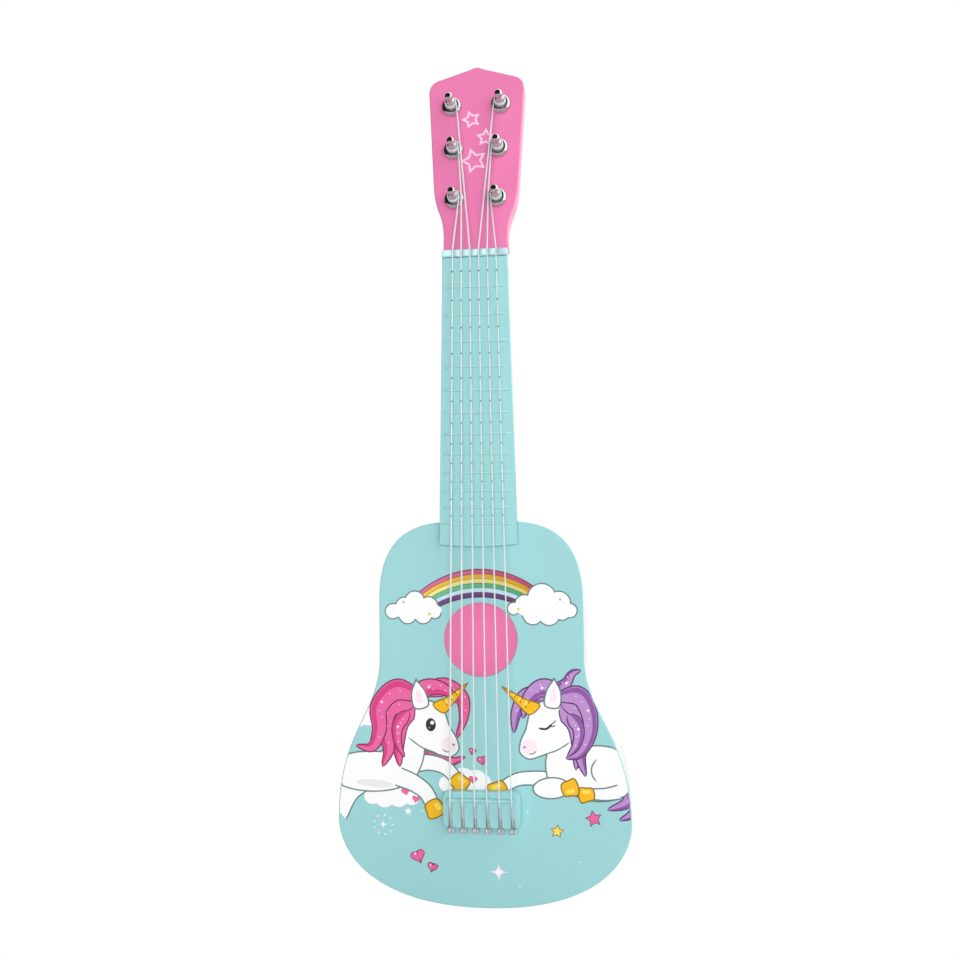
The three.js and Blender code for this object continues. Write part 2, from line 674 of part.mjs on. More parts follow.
// ---- Assembly ----
addPart("soundboard", soundboard(), tealPaint);
addPart("rim", rim(), whitePaint);
addPart("back_plate", plate(outline, backFront, BODY_DEPTH), whitePaint);
addPart("neck_block", neckBlock(), bareWood);
addPart("tail_block", tailBlock(), bareWood);
addPart("upper_top_brace", topBrace(soundHoleHeight + SOUND_HOLE_RADIUS + BRACE_FROM_HOLE), bareWood);
addPart("lower_top_brace", topBrace(soundHoleHeight - SOUND_HOLE_RADIUS - BRACE_FROM_HOLE), bareWood);
addPart("upper_back_brace", backBrace(soundHoleHeight + LABEL.radius + BACK_BRACE_FROM_LABEL), bareWood);
addPart("lower_back_brace", backBrace(soundHoleHeight - LABEL.radius - BACK_BRACE_FROM_LABEL), bareWood);
addPart("sound_hole_label", soundHoleLabel(), pinkPaper);
addPart("neck", neck(), tealPaint);
NECK_SCREW.ys.forEach((y, i) => addPart(`neck_screw_${i + 1}`, neckScrew(y), screwSteel));
addPart("fretboard", fretboard(), tealPaint);
fretNumbers.forEach((number) => addPart(`fret_${number}`, fret(number), fretMetal));
addPart("nut", nut(), paleNut);
addPart("bridge", bridge(), tealPaint);
addPart("saddle", saddle(), tealPaint);
everyString.forEach((index) => addPart(`string_${index + 1}`, string(index), nylon));
addPart("headstock", headstock(), pinkPaint, head);
for (const { number, x, up } of pegs) {
  const peg = new THREE.Group();
  peg.position.set(x, 0, up);
  head.add(peg);
  addPart(`peg_post_${number}`, pegPost(), chrome, peg);
  addPart(`peg_bushing_${number}`, pegBushing(), chrome, peg);
  addPart(`peg_button_${number}`, pegButton(), pearlPlastic, peg);
  addPart(`peg_screw_${number}`, pegScrew(), screwSteel, peg);
}

// The group's origin is under the middle of the whole guitar, at the foot of the body.
const box = new THREE.Box3().setFromObject(guitar);
guitar.position.y = -(box.min.y + box.max.y) / 2;

export default guitar;
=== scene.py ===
"""A child's six-string acoustic guitar with a printed soundboard, standing on the end of its body.

X runs across the strings, +Y from the soundboard to the back, +Z up the neck. The pieces are worked
out in millimetres and stored in metres.
"""
import math

import bmesh
import bpy
import numpy as np
from mathutils import Matrix, Vector
from mathutils.geometry import tessellate_polygon


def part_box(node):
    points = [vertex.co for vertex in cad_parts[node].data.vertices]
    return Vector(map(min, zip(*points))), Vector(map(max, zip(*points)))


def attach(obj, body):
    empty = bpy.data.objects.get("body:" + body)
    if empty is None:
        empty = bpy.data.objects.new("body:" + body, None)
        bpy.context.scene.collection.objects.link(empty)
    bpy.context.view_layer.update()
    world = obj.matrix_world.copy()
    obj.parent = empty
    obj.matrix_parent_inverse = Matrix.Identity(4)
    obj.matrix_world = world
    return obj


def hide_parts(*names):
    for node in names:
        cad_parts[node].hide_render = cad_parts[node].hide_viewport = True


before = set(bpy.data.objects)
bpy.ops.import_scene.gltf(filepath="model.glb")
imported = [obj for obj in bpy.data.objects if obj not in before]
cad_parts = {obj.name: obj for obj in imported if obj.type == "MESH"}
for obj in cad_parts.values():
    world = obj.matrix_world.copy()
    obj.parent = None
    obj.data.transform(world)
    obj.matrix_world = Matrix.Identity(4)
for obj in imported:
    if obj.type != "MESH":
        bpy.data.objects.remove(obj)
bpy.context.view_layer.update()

# ---- Camera ----
# A portrait lens two feet from the guitar, a little to its right, a hand's width below its middle.
CAMERA_PLACE = (0.0859, -0.6761, 0.2453)
YAW, PITCH, ROLL = math.radians(7.35), math.radians(1.71), math.radians(-0.76)
camera_data = bpy.data.cameras.new("camera")
camera_data.lens = 39.75
camera_data.sensor_width = 36
camera = bpy.data.objects.new("camera", camera_data)
bpy.context.scene.collection.objects.link(camera)
bpy.context.scene.camera = camera
level = Matrix.Rotation(YAW, 4, "Z") @ Matrix.Rotation(math.pi / 2 + PITCH, 4, "X")
camera.matrix_world = Matrix.Translation(CAMERA_PLACE) @ level @ Matrix.Rotation(ROLL, 4, "Z")

# ---- Body ----
# Two flat ply boards glued to a bent side band. The soundboard, with its round sound hole, is sprayed teal
# before it is glued on; the band and the back are white. Every outer edge is eased by sanding.
MM = 0.001


def node_box(name):
    """A CAD node's lowest and highest corners, in millimetres."""
    low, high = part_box(name)
    return np.array(low) / MM, np.array(high) / MM


board_low, board_high = node_box("soundboard")
LOWER_BOUT_HALF, BODY_LENGTH = board_high[0], board_high[2]
LOWER_BOUT_HEIGHT = 53.4
FOOT_REACH, HIP_LOW, HIP_RISE, WAIST_DROP = 75.9, 36, 54.4, 36
SHOULDER_RISE, SHOULDER_REACH = 31.1, 33.9
UPPER_BOUT_HALF = 64.2
WAIST_HEIGHT = BODY_LENGTH - 83.9
SHOULDER_HEIGHT = BODY_LENGTH - 49.7
SHOULDER_FLAT_HALF = 18.4
HOLE_RADIUS = 23
HOLE_HEIGHT = BODY_LENGTH - 73.6
EDGE_RADIUS = 0.7


def bezier(start, first, second, end, steps):
    """The points of one cubic curve, the last one left out, each a blend of its four control points."""
    t = np.linspace(0, 1, steps, endpoint=False)[:, None]
    blend = ((1 - t) ** 3, 3 * t * (1 - t) ** 2, 3 * t**2 * (1 - t), t**3)
    return sum(share * np.array(point, float) for share, point in zip(blend, (start, first, second, end)))


def body_outline(steps=48):
    """The guitar's outline: three curves and a straight run up the right side, then their mirror image."""
    foot, widest = (0, 0), (LOWER_BOUT_HALF, LOWER_BOUT_HEIGHT)
    waist, shoulder = (UPPER_BOUT_HALF, WAIST_HEIGHT), (UPPER_BOUT_HALF, SHOULDER_HEIGHT)
    top = (SHOULDER_FLAT_HALF, BODY_LENGTH)
    side = np.vstack(
        [
            bezier(foot, (FOOT_REACH, 0), (LOWER_BOUT_HALF, HIP_LOW), widest, steps),
            bezier(widest, np.add(widest, (0, HIP_RISE)), np.subtract(waist, (0, WAIST_DROP)), waist, steps),
            [waist],
            bezier(shoulder, np.add(shoulder, (0, SHOULDER_RISE)), np.add(top, (SHOULDER_REACH, 0)), top, steps),
            [top],
        ]
    )
    return np.vstack([side, side[:0:-1] * (-1, 1)])


def circle(centre, radius, steps):
    """The points of a circle, anticlockwise."""
    turn = np.linspace(0, 2 * np.pi, steps, endpoint=False)
    return np.array(centre) + radius * np.stack([np.cos(turn), np.sin(turn)], -1)


def inset(loop, distance):
    """A closed anticlockwise loop moved inwards: each point goes along the mean of its two edges' normals,
    as far as keeps both edges that distance in."""
    after = np.roll(loop, -1, 0) - loop
    normal = np.stack([-after[:, 1], after[:, 0]], -1)
    normal /= np.linalg.norm(normal, axis=1, keepdims=True)
    mean = normal + np.roll(normal, 1, 0)
    mean /= np.linalg.norm(mean, axis=1, keepdims=True)
    reach = 1 / np.maximum((mean * normal).sum(1, keepdims=True), 0.5)
    return loop + distance * reach * mean


def in_scene(name, mesh, material):
    """A mesh object at the origin with one material."""
    mesh.materials.append(material)
    piece = bpy.data.objects.new(name, mesh)
    bpy.context.scene.collection.objects.link(piece)
    return piece


def new_piece(name, shape, material, stands_for=None, body="guitar_body"):
    """Puts a shape's points, in millimetres, and faces into a smooth-shaded mesh that rides on a body, and
    hides the CAD node that it stands for."""
    points, faces = shape
    mesh = bpy.data.meshes.new(name)
    mesh.from_pydata((np.asarray(points) * MM).tolist(), [], faces)
    shell = bmesh.new()
    shell.from_mesh(mesh)
    bmesh.ops.remove_doubles(shell, verts=shell.verts, dist=0.001 * MM)
    bmesh.ops.recalc_face_normals(shell, faces=shell.faces)
    if shell.calc_volume(signed=True) < 0:
        bmesh.ops.reverse_faces(shell, faces=shell.faces)
    shell.to_mesh(mesh)
    shell.free()
    mesh.shade_smooth()
    piece = in_scene(name, mesh, material)
    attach(piece, body)
    if stands_for:
        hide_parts(stands_for)
    return piece


def grid_faces(rows, columns, start=0, close_rows=False):
    """Quads between the rows of a grid whose columns go round. With close_rows the last row joins the
    first."""
    row = np.arange(rows if close_rows else rows - 1)[:, None]
    column = np.arange(columns)[None, :]
    here, above = row * columns, (row + 1) % rows * columns
    onward = (column + 1) % columns
    quads = [here + column, here + onward, above + onward, above + column]
    return (np.stack(np.broadcast_arrays(*quads), -1).reshape(-1, 4) + start).tolist()


def capped_grid(rows, columns):
    """A grid whose columns go round, with one flat face over its first row and one over its last."""
    last = (rows - 1) * columns
    return grid_faces(rows, columns) + [list(range(columns)), list(range(last, last + columns))]


def slab(loops, front, back, radius, steps=5):
    """A flat piece between two depths, from an outline and its holes. Each loop's wall is a grid: round the
    loop, and through the profile's eased front edge, side and eased back edge. Flat caps close it."""
    turn = np.linspace(0, np.pi / 2, steps)
    ease = np.stack([radius * (1 - np.sin(turn)), radius * (1 - np.cos(turn))], -1)
    support = radius * 1.6
    eased = ease + (0, front), (ease * (1, -1) + (0, back))[::-1]
    profile = np.vstack([[(support, front)], *eased, [(support, back)]])
    points, faces, caps, start = [], [], [], 0
    for number, loop in enumerate(loops):
        rings = [
            np.insert(inset(loop, distance if number == 0 else -distance), 1, depth, 1)
            for distance, depth in profile
        ]
        faces += grid_faces(len(rings), len(loop), start)
        caps.append((start, start + (len(rings) - 1) * len(loop)))
        points += rings
        start += len(rings) * len(loop)
    points = np.vstack(points)
    for end in (0, 1):
        index = [cap[end] + np.arange(len(loop)) for cap, loop in zip(caps, loops)]
        polygons = [[Vector(points[corner]) for corner in one] for one in index]
        index = np.concatenate(index)
        faces += [[int(index[corner]) for corner in triangle] for triangle in tessellate_polygon(polygons)]
    return points, faces


def node_group(name, inputs, outputs):
    """An empty shader group with its named sockets, and its input and output nodes."""
    group = bpy.data.node_groups.new(name, "ShaderNodeTree")
    for socket, kind, value in inputs:
        made = group.interface.new_socket(socket, in_out="INPUT", socket_type=kind)
        if value is not None:
            made.default_value = value
    for socket, kind in outputs:
        group.interface.new_socket(socket, in_out="OUTPUT", socket_type=kind)
    return group, group.nodes.new("NodeGroupInput"), group.nodes.new("NodeGroupOutput")


def linear(red, green, blue):
    """A display colour, 0 to 255 a channel, as the linear colour that a shader takes."""
    share = np.array([red, green, blue]) / 255
    return (*np.where(share <= 0.04045, share / 12.92, ((share + 0.055) / 1.055) ** 2.4), 1)


def feed(tree, socket, value):
    """Links a node's output to a socket, or sets the socket to a plain value; None leaves it as it is."""
    if isinstance(value, bpy.types.NodeSocket):
        tree.links.new(value, socket)
    elif value is not None:
        socket.default_value = value


def add_node(tree, kind, *feeds, **settings):
    """A new node, its properties set by name, and its inputs fed in order and then by name."""
    node = tree.nodes.new(kind)
    own = {name: value for name, value in settings.items() if hasattr(node, name)}
    for name, value in own.items():
        setattr(node, name, value)
    for socket, value in zip(node.inputs, feeds):
        feed(tree, socket, value)
    for name in settings.keys() - own.keys():
        feed(tree, node.inputs[name.replace("_", " ")], settings[name])
    return node


def math_node(tree, operation, *feeds):
    """The result of a sum on numbers or on other nodes' outputs."""
    return add_node(tree, "ShaderNodeMath", *feeds, operation=operation).outputs[0]


def noise(tree, place, **settings):
    """The value of a noise over a place."""
    return add_node(tree, "ShaderNodeTexNoise", place, **settings).outputs["Fac"]


def build_finish_group():
    """Sprayed paint or ink on wood: the colour drifts a little in wide soft patches, and the surface has
    the long grain of the ply below it and the fine orange peel of the spray."""
    group, entry, leave = node_group(
        "sprayed_finish",
        [
            ("Colour", "NodeSocketColor", (1, 1, 1, 1)),
            ("Drift", "NodeSocketFloat", 0.03),
            ("Roughness", "NodeSocketFloat", 0.35),
            ("Grain", "NodeSocketFloat", 0.15),
            ("Peel", "NodeSocketFloat", 0.08),
        ],
        [("Colour", "NodeSocketColor"), ("Roughness", "NodeSocketFloat"), ("Normal", "NodeSocketVector")],
    )
    given = entry.outputs
    place = add_node(group, "ShaderNodeTexCoord").outputs["Object"]
    patches = math_node(group, "SUBTRACT", noise(group, place, Scale=18.0, Detail=3.0), 0.5)
    drift = math_node(group, "MULTIPLY_ADD", patches, given["Drift"], 1.0)
    shade = add_node(group, "ShaderNodeVectorMath", given["Colour"], operation="SCALE", Scale=drift)
    stretched = add_node(group, "ShaderNodeMapping", place, Scale=(900, 900, 22)).outputs["Vector"]
    grain = noise(group, stretched, Scale=1.0, Detail=4.0, Roughness=0.6)
    relief = add_node(group, "ShaderNodeBump", Distance=0.0002, Strength=given["Grain"], Height=grain)
    peel = noise(group, place, Scale=1400.0, Detail=1.0)
    skin = add_node(
        group,
        "ShaderNodeBump",
        Distance=0.00012,
        Strength=given["Peel"],
        Height=peel,
        Normal=relief.outputs["Normal"],
    )
    feed(group, leave.inputs["Colour"], shade.outputs["Vector"])
    rough = math_node(group, "MULTIPLY_ADD", patches, 0.12, given["Roughness"])
    feed(group, leave.inputs["Roughness"], rough)
    feed(group, leave.inputs["Normal"], skin.outputs["Normal"])
    return group


finish_group = build_finish_group()


def new_material(name, **sockets):
    """A Principled material with constants set straight on its sockets, its tree and its shader."""
    material = bpy.data.materials.new(name)
    material.use_nodes = True
    tree = material.node_tree
    shader = tree.nodes["Principled BSDF"]
    for socket, value in sockets.items():
        feed(tree, shader.inputs[socket.replace("_", " ")], value)
    return material, tree, shader


def sprayed(name, colour, roughness=0.35, drift=0.03, grain=0.15, peel=0.08, **sockets):
    """A painted or printed wood surface through the sprayed finish group."""
    material, tree, shader = new_material(name, Base_Color=linear(*colour), **sockets)
    finish = add_node(tree, "ShaderNodeGroup", node_tree=finish_group)
    for socket, value in zip(finish.inputs, (linear(*colour), drift, roughness, grain, peel)):
        feed(tree, socket, value)
    for name_out, name_in in (("Colour", "Base Color"), ("Roughness", "Roughness"), ("Normal", "Normal")):
        feed(tree, shader.inputs[name_in], finish.outputs[name_out])
    return material


TEAL = (160, 215, 217)
teal_paint = sprayed("teal_paint", TEAL)
white_paint = sprayed("white_paint", (247, 247, 246), 0.4)

outline = body_outline()
hole = circle((0, HOLE_HEIGHT), HOLE_RADIUS, 128)
soundboard = slab([outline, hole], board_low[1], board_high[1], EDGE_RADIUS)
new_piece("soundboard_painted", soundboard, teal_paint, "soundboard")
back_low, back_high = node_box("back_plate")
back = slab([outline], back_low[1], back_high[1], EDGE_RADIUS)
new_piece("back_painted", back, white_paint, "back_plate")
RIM_THICKNESS = 2.5
rim_low, rim_high = node_box("rim")
rim = slab([outline, inset(outline, RIM_THICKNESS)], rim_low[1], rim_high[1], 0.15, 3)
new_piece("rim_painted", rim, white_paint, "rim")

# ---- Hidden wood and screws ----
# Blocks and braces of bare softwood glued inside the body, and two wood screws into the heel.


def build_wood_material():
    """Planed softwood: rings stretched along the piece, darker late wood and fine pores."""
    material, tree, shader = new_material("bare_wood", Roughness=0.65)
    place = add_node(tree, "ShaderNodeTexCoord").outputs["Object"]
    stretched = add_node(tree, "ShaderNodeMapping", place, Scale=(8, 260, 260)).outputs["Vector"]
    rings = noise(tree, stretched, Scale=1.0, Detail=5.0, Roughness=0.55, Distortion=0.4)
    ramp = add_node(tree, "ShaderNodeValToRGB", rings)
    for element, stop in zip(ramp.color_ramp.elements, ((0.35, 188, 150, 102), (0.65, 224, 196, 152))):
        element.position = stop[0]
        element.color = linear(*stop[1:])
    feed(tree, shader.inputs["Base Color"], ramp.outputs["Color"])
    bump = add_node(tree, "ShaderNodeBump", Strength=0.3, Distance=0.0003, Height=rings)
    feed(tree, shader.inputs["Normal"], bump.outputs["Normal"])
    return material


def build_metal_material(name, colour, roughness, scratch, **sockets):
    """Metal with fine rubbing marks: noise drives a small spread of roughness and a faint relief."""
    material, tree, shader = new_material(name, Base_Color=linear(*colour), **{"Metallic": 1.0, **sockets})
    place = add_node(tree, "ShaderNodeTexCoord").outputs["Object"]
    marks = noise(tree, place, Scale=900.0, Detail=3.0)
    spread = add_node(tree, "ShaderNodeMapRange", marks, To_Min=roughness * 0.7, To_Max=roughness * 1.3)
    feed(tree, shader.inputs["Roughness"], spread.outputs["Result"])
    bump = add_node(tree, "ShaderNodeBump", Strength=scratch, Distance=0.00005, Height=marks)
    feed(tree, shader.inputs["Normal"], bump.outputs["Normal"])
    return material


bare_wood = build_wood_material()
screw_steel = build_metal_material("screw_steel", (184, 186, 189), 0.3, 0.3)


def dress(names, material):
    """Gives CAD nodes their material."""
    for name in names:
        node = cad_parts[name]
        node.data.materials.clear()
        node.data.materials.append(material)


dress(["neck_block", "tail_block", "upper_top_brace", "lower_top_brace"], bare_wood)
dress(["upper_back_brace", "lower_back_brace"], bare_wood)
dress(["neck_screw_1", "neck_screw_2"], screw_steel)
dress([f"peg_screw_{number}" for number in range(1, 7)], screw_steel)

# ---- Paper disc ----
# A pink paper disc glued inside the back, seen through the sound hole, made to glow as painted light.
PINK_PAPER_GLOW = (238, 124, 174)
label_low, label_high = node_box("sound_hole_label")
# Painted light: the paper has a darker base colour under a pink emission, so it glows evenly bright inside the
# hole though it is no lamp.
glow = {"Emission_Color": linear(*PINK_PAPER_GLOW), "Emission_Strength": 0.82}
label_paper = sprayed("label_paper", (142, 74, 104), 0.6, 0.02, 0.0, 0.25, **glow)
disc = slab([circle((0, HOLE_HEIGHT), label_high[0], 96)], label_low[1], label_high[1], 0.05, 2)
new_piece("sound_hole_disc", disc, label_paper, "sound_hole_label")

# ---- Neck ----
# One piece of painted hardwood, half round behind the fretboard, which deepens into a squarer heel
# where two screws pull it against the body.
neck_low, neck_high = node_box("neck")
nut_low, nut_high = node_box("nut")
NECK_DEPTH = 15
HEEL_LENGTH = 30
HEEL_BACK_SHARE = 0.5


def neck_half(z):
    """Half the neck's width at a height: straight from the body to the nut, and even along the nut."""
    slope = (nut_high[0] - neck_high[0]) / (nut_low[2] - neck_low[2])
    return neck_high[0] + slope * (np.minimum(z, nut_low[2]) - neck_low[2])


def neck_surface(rows=70, columns=72):
    """A grid up the neck and round its section. The section is flat in front and an ellipse behind, and in
    the heel it grows deeper and narrower at the back by a smooth step of the height."""
    z = np.concatenate([np.linspace(0, HEEL_LENGTH, rows), [neck_high[2] - neck_low[2]]]) + neck_low[2]
    step = np.clip((neck_low[2] + HEEL_LENGTH - z) / HEEL_LENGTH, 0, 1)
    fade = step**2 * (3 - 2 * step)
    depth = NECK_DEPTH + (neck_high[1] - neck_low[1] - NECK_DEPTH) * fade
    turn = np.linspace(0, np.pi, columns)
    back = np.sin(turn)
    narrow = 1 - np.outer(fade, back) * (1 - HEEL_BACK_SHARE)
    x = neck_half(z)[:, None] * np.cos(turn) * narrow
    y = neck_low[1] + np.outer(depth, back**0.75)
    front = np.linspace(-1, 1, 9)[1:-1]
    x = np.hstack([x, neck_half(z)[:, None] * front])
    y = np.hstack([y, np.full((len(z), len(front)), neck_low[1])])
    points = np.stack([x, y, np.repeat(z[:, None], x.shape[1], 1)], -1)
    return points.reshape(-1, 3), capped_grid(*x.shape)


neck_piece = new_piece("neck_carved", neck_surface(), teal_paint, "neck")


def ease_edges(piece, width, segments=2, angle=35):
    """Rounds a piece's sharp edges a little, as sanding does, and keeps its flats flat."""
    bevel = piece.modifiers.new("eased", "BEVEL")
    bevel.width = width * MM
    bevel.segments = segments
    bevel.limit_method = "ANGLE"
    bevel.angle_limit = math.radians(angle)
    bevel.harden_normals = False
    weighted = piece.modifiers.new("flats", "WEIGHTED_NORMAL")
    weighted.keep_sharp = False


ease_edges(neck_piece, 0.25)

# ---- Fretboard ----
# A slab of painted hardwood glued on the neck and over the soundboard, with a slightly bowed end.
SCALE_LENGTH = 334
FRET_COUNT = 12
END_SAG = 1.4
fretboard_low, fretboard_high = node_box("fretboard")


def fretboard_outline(steps=24):
    """A long taper with straight sides and a shallow curve for its lower end."""
    t = np.linspace(0, 1, steps)
    half = fretboard_high[0]
    end = np.stack([-half + 2 * half * t, fretboard_low[2] + END_SAG * (2 * t - 1) ** 2], -1)
    top = fretboard_high[2]
    return np.vstack([end, [(neck_half(top), top), (-neck_half(top), top)]])


fretboard = slab([fretboard_outline()], fretboard_low[1], fretboard_high[1], 0.45, 4)
new_piece("fretboard_painted", fretboard, teal_paint, "fretboard")

# ---- Frets ----
# Twelve crowned wires pressed across the fretboard, with filed ends, set by the twelfth root of two.
fret_wire = sprayed("fret_wire", (176, 222, 224), 0.3, 0.02, 0.0, 0.05)


def fret_surface(low, high):
    """A grid along the wire and round its half-oval crown; the ends roll over in a quarter circle."""
    along = np.linspace(0.15, np.pi / 2, 6)
    half, roll = high[0], 1.0
    end = half - roll + roll * np.cos(along)
    x = np.concatenate([-end, end[::-1]])
    share = np.concatenate([np.sin(along), np.sin(along)[::-1]])
    crown = np.linspace(0, np.pi, 13)
    middle = (low[2] + high[2]) / 2
    wide = (high[2] - low[2]) / 2
    tall = high[1] - low[1]
    y = high[1] - np.outer(share, np.sin(crown)) * tall
    z = np.broadcast_to(middle - wide * np.cos(crown), y.shape)
    points = np.stack([np.broadcast_to(x[:, None], y.shape), y, z], -1)
    return points.reshape(-1, 3), capped_grid(len(x), len(crown))


for number in range(1, FRET_COUNT + 1):
    low, high = node_box(f"fret_{number}")
    high[1] = fretboard_low[1] + 0.05
    new_piece(f"fret_wire_{number}", fret_surface(low, high), fret_wire, f"fret_{number}")

# ---- Strings ----
# Six nylon strings. Each starts at a metal ball behind the bridge, is wrapped with wire as far as the
# saddle, and runs over the saddle and through the nut to the inner side of its peg.
STRING_RADII = (0.55, 0.52, 0.5, 0.48, 0.46, 0.44)
SPREAD_AT_NUT, SPREAD_AT_SADDLE = 27.5, 38
saddle_low, saddle_high = node_box("saddle")
saddle_z = (saddle_low[2] + saddle_high[2]) / 2
BALL_HEIGHT, BALL_RADIUS = 4.6, 2
UNDER_AT_NUT = fretboard_low[1] - 1.5
UNDER_AT_SADDLE = UNDER_AT_NUT - 3.8
SOFT_GAP = 0.3
ball_z = saddle_z - 17 - SOFT_GAP - BALL_RADIUS
STRING_SHARES = np.arange(6) / 5 - 0.5


def string_x(number, z):
    """Where a string stands across the guitar at a height: the nut and saddle spacings, joined straight."""
    run = (nut_low[2] - z) / (nut_low[2] - saddle_z)
    return STRING_SHARES[number] * (SPREAD_AT_NUT + (SPREAD_AT_SADDLE - SPREAD_AT_NUT) * run)


# The headstock leans back, and its pegs stand square to its face.
TILT = math.radians(8.3)
HEAD_FOOT = np.array([0, board_low[1], nut_high[2] + SOFT_GAP])
HEAD_AXES = np.array([[1, 0, 0], [0, math.cos(TILT), -math.sin(TILT)], [0, math.sin(TILT), math.cos(TILT)]])
PEG_ROWS = ((34.7, 13.5), (68.4, 14.4), (98.6, 15.9))
POST_RADIUS = 2.9
STRING_HEIGHT = 6.5
pegs = [(-half, up) for up, half in PEG_ROWS] + [(half, up) for up, half in PEG_ROWS[::-1]]


def lean(points):
    """Points of the headstock's own frame (across, back from its face, up its face) put in place."""
    return np.asarray(points, float) @ HEAD_AXES + HEAD_FOOT


def flat(points):
    """Points in place, back in the headstock's own frame."""
    return (np.asarray(points, float) - HEAD_FOOT) @ HEAD_AXES.T


def string_route(number):
    """The string's bends in order. Past the nut it keeps clear of the windings on the pegs below its own."""
    radius = STRING_RADII[number]
    across, up = pegs[number]
    inwards = -math.copysign(1, across)
    saddle_y, nut_y = UNDER_AT_SADDLE - radius, UNDER_AT_NUT - radius
    heights = (ball_z, saddle_z - 0.6, saddle_z + 0.6, nut_low[2], nut_high[2])
    depths = (board_low[1] - BALL_HEIGHT, saddle_y, saddle_y, nut_y, nut_y)
    route = [(string_x(number, z), y, z) for z, y in zip(heights, depths)]
    start = flat(route[-1])
    end = np.array([across + inwards * (POST_RADIUS + SOFT_GAP + radius), -STRING_HEIGHT, up])
    bends = []
    for other, (aside, low) in enumerate(pegs):
        if aside * across > 0 and low < up:
            point = start + (end - start) * (low - start[2]) / (end[2] - start[2])
            clear = aside + inwards * (POST_RADIUS + 2 * SOFT_GAP + 2 * STRING_RADII[other] + radius)
            point[0] = inwards * max(inwards * point[0], inwards * clear)
            bends.append(point)
    bends.sort(key=lambda point: point[2])
    return np.vstack([route, lean([*bends, end])])


def rounded(route, reach, steps=5):
    """A path of straight runs with each bend made a short parabola that starts and ends a reach from it."""
    pieces = [route[:1]]
    for before, bend, after in zip(route[:-2], route[1:-1], route[2:]):
        near = bend + (before - bend) * min(0.45, reach / np.linalg.norm(before - bend))
        far = bend + (after - bend) * min(0.45, reach / np.linalg.norm(after - bend))
        t = np.linspace(0, 1, steps)[:, None]
        pieces.append((1 - t) ** 2 * near + 2 * t * (1 - t) * bend + t**2 * far)
    return np.vstack([*pieces, route[-1:]])


def tube(path, radius, sides=12):
    """A round section carried along a path. Each ring stands square to the mean direction of the runs that
    meet there, and its first spoke is kept from turning by a fixed reference direction."""
    ahead = np.gradient(path, axis=0)
    ahead /= np.linalg.norm(ahead, axis=1, keepdims=True)
    first = np.cross(ahead, (0.31, -0.94, 0.13))
    first /= np.linalg.norm(first, axis=1, keepdims=True)
    second = np.cross(ahead, first)
    turn = np.linspace(0, 2 * np.pi, sides, endpoint=False)[None, :, None]
    rings = path[:, None] + radius * (first[:, None] * np.cos(turn) + second[:, None] * np.sin(turn))
    return rings.reshape(-1, 3), capped_grid(len(path), sides)


def joined(*shapes):
    """Several shapes as one list of points and one of faces."""
    points, faces, start = [], [], 0
    for shape_points, shape_faces in shapes:
        points.append(shape_points)
        faces += [[corner + start for corner in face] for face in shape_faces]
        start += len(shape_points)
    return np.vstack(points), faces


def helix(start, end, radius, turns, steps=14):
    """A path that winds round the straight line between two points."""
    axis = (end - start) / np.linalg.norm(end - start)
    side = np.cross(axis, (0, 1, 0))
    side /= np.linalg.norm(side)
    other = np.cross(axis, side)
    t = np.linspace(0, 1, int(turns * steps) + 1)[:, None]
    turn = 2 * np.pi * turns * t
    return start + (end - start) * t + radius * (side * np.cos(turn) + other * np.sin(turn))


def build_nylon_material():
    """Clear white nylon, with painted shade: a small grey spot halfway between two frets that breaks the
    string's shine there. A spot's place comes from the fret law: a fret's number is 12 times the base-two log of
    scale over length left."""
    material, tree, shader = new_material("nylon_string", Roughness=0.3, Transmission_Weight=0.25)
    place = add_node(tree, "ShaderNodeTexCoord").outputs["Object"]
    height = add_node(tree, "ShaderNodeSeparateXYZ", place).outputs["Z"]
    left = math_node(tree, "SUBTRACT", height, (nut_low[2] - SCALE_LENGTH) * MM)
    doublings = math_node(tree, "LOGARITHM", math_node(tree, "DIVIDE", SCALE_LENGTH * MM, left), 2)
    fret_number = math_node(tree, "MULTIPLY", doublings, 12)
    away = math_node(tree, "PINGPONG", fret_number, 0.5)
    smooth = {"interpolation_type": "SMOOTHSTEP", "From_Min": 0.46, "From_Max": 0.485}
    spot = add_node(tree, "ShaderNodeMapRange", away, **smooth).outputs["Result"]
    last = add_node(tree, "ShaderNodeMapRange", fret_number, From_Min=FRET_COUNT, From_Max=FRET_COUNT - 0.1)
    below_nut = math_node(tree, "GREATER_THAN", fret_number, 0)
    # Painted shade: grey spots where the string's shine breaks, halfway between frets up to the last one.
    painted_shade_spots = math_node(tree, "MULTIPLY", math_node(tree, "MULTIPLY", spot, last.outputs["Result"]), below_nut)
    colour = add_node(tree, "ShaderNodeMix", painted_shade_spots, data_type="RGBA")
    ends = [socket for socket in colour.inputs if socket.type == "RGBA"]
    for socket, value in zip(ends, ((244, 252, 252), (92, 116, 118))):
        feed(tree, socket, linear(*value))
    result = [socket for socket in colour.outputs if socket.type == "RGBA"][0]
    feed(tree, shader.inputs["Base Color"], result)
    return material


nylon_string = build_nylon_material()
end_wire = build_metal_material("end_wire", (214, 216, 220), 0.45, 0.2, Metallic=0.45)
HALF_BALL = [(0.7, -1.9), (1.7, -1.9), (2, -1.6), (2, -0.8), (1.5, -0.4)]
BALL_PROFILE = np.array(HALF_BALL + [(reach, -along) for reach, along in HALF_BALL[::-1]])
WRAP_TURNS, WRAP_SHARE = 16, 0.88


def ball_surface(sides=24):
    """A grooved drum with a bore: its profile of (radius, place along the axle) turned about the X axis."""
    turn = np.linspace(0, 2 * np.pi, sides, endpoint=False)[:, None]
    reach, along = BALL_PROFILE.T
    rings = np.stack(np.broadcast_arrays(along, reach * np.cos(turn), reach * np.sin(turn)), -1)
    return rings.reshape(-1, 3), grid_faces(sides, len(along), close_rows=True)


